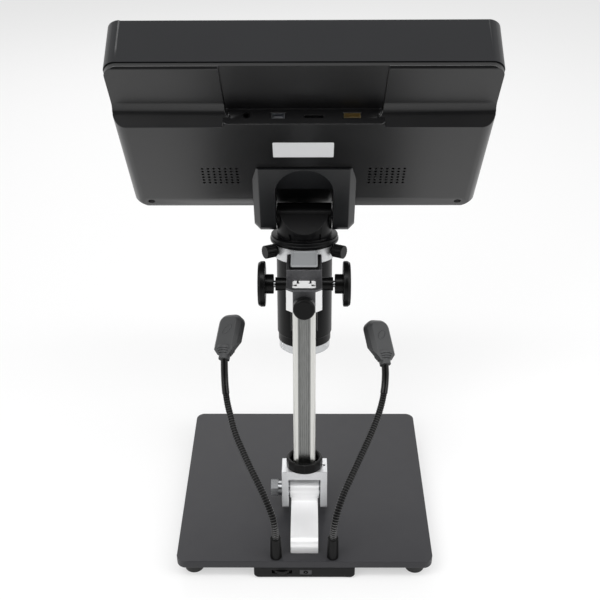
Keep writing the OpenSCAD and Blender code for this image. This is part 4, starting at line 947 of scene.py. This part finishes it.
def makeLampLenses():            # clear window and lamp board under each pad
    width, length = lensLook["size"]
    middle = -(lampLook["near"] + lampLook["far"] + lampLook["underCut"]) / 2
    for name, node, drop, share, thick, finish in lensLook["layers"]:
        pieces = []
        for side in ("left", "right"):
            piece = addBlock((width * share, length * share, thick),
                             (0, middle, -lampLook["thick"] / 2 - drop))
            piece.data.transform(lampPlace(side))
            pieces.append(piece)
        pair = joined(pieces)
        softened(pair, lensLook["soft"])
        finished(pair, name, "base", finishes[finish], (node,))


for lampSide in ("left", "right"):
    makeLamp(lampSide)
makeLampLenses()
print("lamp heads made")


# bare rating plate on the monitor's back

plateLook = {
    "middle": (0.5, 77.9),
    "size": (42.2, 16.7),
    "thick": 0.3,
    "corner": 0.8,
    "back": -4.3,                # rear face of the cover, behind the hinge
}


def makeRatingPlate():
    look = plateLook
    x, z = look["middle"]
    width, height = look["size"]
    plate = addBlock((width, look["thick"], height), (x, look["back"] + look["thick"] / 2, z))
    selectEdges(plate, lambda a, b: abs(a.y - b.y) > look["thick"] / 2 * mm)
    bpy.ops.mesh.bevel(offset=look["corner"] * mm, segments=4, affect="EDGES")
    bpy.ops.object.mode_set(mode="OBJECT")
    plate.data.transform(monitorPlace())
    finished(plate, "rating_plate", "monitor", finishes["labelPaper"])
    smoothed(plate, 40)


makeRatingPlate()
print("rating plate made")


# camera, light and floor

cameraPlace = {                  # place in mm, measured from the middle of the plate, and angles in degrees
    "place": (-2.7, 580.1 + plateMiddle / mm, 568.6),
    "pitch": 32.96,
    "yaw": 0.56,
    "roll": 0.32,
    "lens": 58.2,
    "sensor": 36.0,
    "farthest": 50.0,            # how far it sees, in metres
}


def placeCamera(look):
    pitch, yaw, roll = (math.radians(look[key]) for key in ("pitch", "yaw", "roll"))
    forward = Vector((math.sin(yaw) * math.cos(pitch), -math.cos(yaw) * math.cos(pitch), -math.sin(pitch)))
    level = forward.cross(Vector((0, 0, 1))).normalized()
    above = level.cross(forward)
    right = level * math.cos(roll) - above * math.sin(roll)
    upward = right.cross(forward)
    turn = Matrix((right, upward, -forward)).transposed()
    bpy.ops.object.camera_add()
    camera = bpy.context.object
    camera.name = "studioCamera"
    camera.matrix_world = Matrix.Translation(Vector(look["place"]) * mm) @ turn.to_4x4()
    camera.data.lens = look["lens"]
    camera.data.sensor_width = look["sensor"]
    camera.data.clip_end = look["farthest"]
    bpy.context.scene.camera = camera


def mixShaders(tree, factor, first, second):
    mix = tree.nodes.new("ShaderNodeMixShader")
    tree.links.new(factor, mix.inputs["Fac"])
    tree.links.new(first, mix.inputs[1])
    tree.links.new(second, mix.inputs[2])
    return mix.outputs[0]


def plainShader(tree, kind, values):      # a shader whose sockets hold plain values
    node = tree.nodes.new(kind)
    for label, value in values.items():
        node.inputs[label].default_value = value
    return node.outputs[0]


deselectAll()
placeCamera(cameraPlace)

darkCard = {"behind": 0.35, "width": 1.5, "height": 1.1}    # a dark card behind the camera, seen only in reflections: painted dark reflection


def makeDarkCard():
    place = bpy.context.scene.camera.matrix_world
    deselectAll()
    bpy.ops.mesh.primitive_plane_add(size=1)
    card = bpy.context.object
    card.name = "darkReflectionCard"
    card.scale = (darkCard["width"], darkCard["height"], 1)
    placeInMesh(card, place @ Matrix.Translation((0, 0, darkCard["behind"])))
    material, tree, shader = startMaterial("darkReflectionCard")
    tree.nodes.remove(shader)
    # painted dark reflection: black to glossy rays, clear to all others
    glossyRay = tree.nodes.new("ShaderNodeLightPath").outputs["Is Glossy Ray"]
    clear = plainShader(tree, "ShaderNodeBsdfTransparent", {})
    dark = plainShader(tree, "ShaderNodeEmission", {"Strength": 0.0})
    tree.links.new(mixShaders(tree, glossyRay, clear, dark), tree.nodes["Material Output"].inputs["Surface"])
    card.data.materials.append(material)


makeDarkCard()

studio = {                       # lengths in metres
    "lamps": [                   # name, place, size and power
        ("topLamp", (0.0, 0.42, 1.3), (1.3, 0.22), 5.0),
        ("keyLamp", (0.6, 0.6, 1.05), (0.7, 0.7), 5.0),
        ("fillLamp", (-0.75, 0.3, 0.8), (0.7, 0.7), 3.5),
        ("frontLamp", (0.15, -0.95, 0.8), (0.8, 0.8), 3.0),
    ],
    "aim": (0.0, 0.0, 0.18),
    "ambient": 0.55,
    "floorSize": 60.0,
    "floorGlow": 0.5,
    "floorDim": 0.45,            # the floor as it is seen, apart from its glow
    "floorLit": 0.8,             # the floor as it lights the object
}


def addLamp(name, place, size, power):
    bpy.ops.object.light_add(type="AREA", location=place)
    lamp = bpy.context.object
    lamp.name = name
    lamp.data.shape = "RECTANGLE"
    lamp.data.size, lamp.data.size_y = size
    lamp.data.energy = power
    lamp.rotation_euler = (Vector(studio["aim"]) - Vector(place)).to_track_quat("-Z", "Y").to_euler()


def seenDirectly(tree):          # 1 for camera, glossy and transmission rays
    rays = tree.nodes.new("ShaderNodeLightPath").outputs
    seen = addMath(tree, "MAXIMUM", rays["Is Camera Ray"], rays["Is Glossy Ray"])
    return addMath(tree, "MAXIMUM", seen, rays["Is Transmission Ray"])


def makeWorld():
    world = bpy.data.worlds.new("studioWorld")
    bpy.context.scene.world = world
    world.use_nodes = True
    tree = world.node_tree
    tree.nodes.clear()
    ambient, shown = (plainShader(tree, "ShaderNodeBackground", {"Color": (1, 1, 1, 1), "Strength": strength})
                      for strength in (studio["ambient"], 1.0))
    tree.links.new(mixShaders(tree, seenDirectly(tree), ambient, shown),
                   tree.nodes.new("ShaderNodeOutputWorld").inputs["Surface"])


def makeFloor():
    bpy.ops.mesh.primitive_plane_add(size=studio["floorSize"], location=(0, 0, 0))
    floor = bpy.context.object
    floor.name = "studioFloor"
    material, tree, shader = startMaterial("floorWhite")
    tree.nodes.remove(shader)
    plain, dim = (plainShader(tree, "ShaderNodeBsdfDiffuse", {"Color": (level, level, level, 1)})
                  for level in (studio["floorLit"], studio["floorDim"]))
    glow = plainShader(tree, "ShaderNodeEmission", {"Color": (1, 1, 1, 1), "Strength": studio["floorGlow"]})
    both = tree.nodes.new("ShaderNodeAddShader")
    tree.links.new(dim, both.inputs[0])
    tree.links.new(glow, both.inputs[1])
    tree.links.new(mixShaders(tree, seenDirectly(tree), plain, both.outputs[0]),
                   tree.nodes["Material Output"].inputs["Surface"])
    floor.data.materials.append(material)


for lampName, lampAt, lampSize, lampPower in studio["lamps"]:
    addLamp(lampName, lampAt, lampSize, lampPower)
makeWorld()
makeFloor()
bpy.context.scene.view_settings.view_transform = "Standard"
print("camera, lamps and floor set")
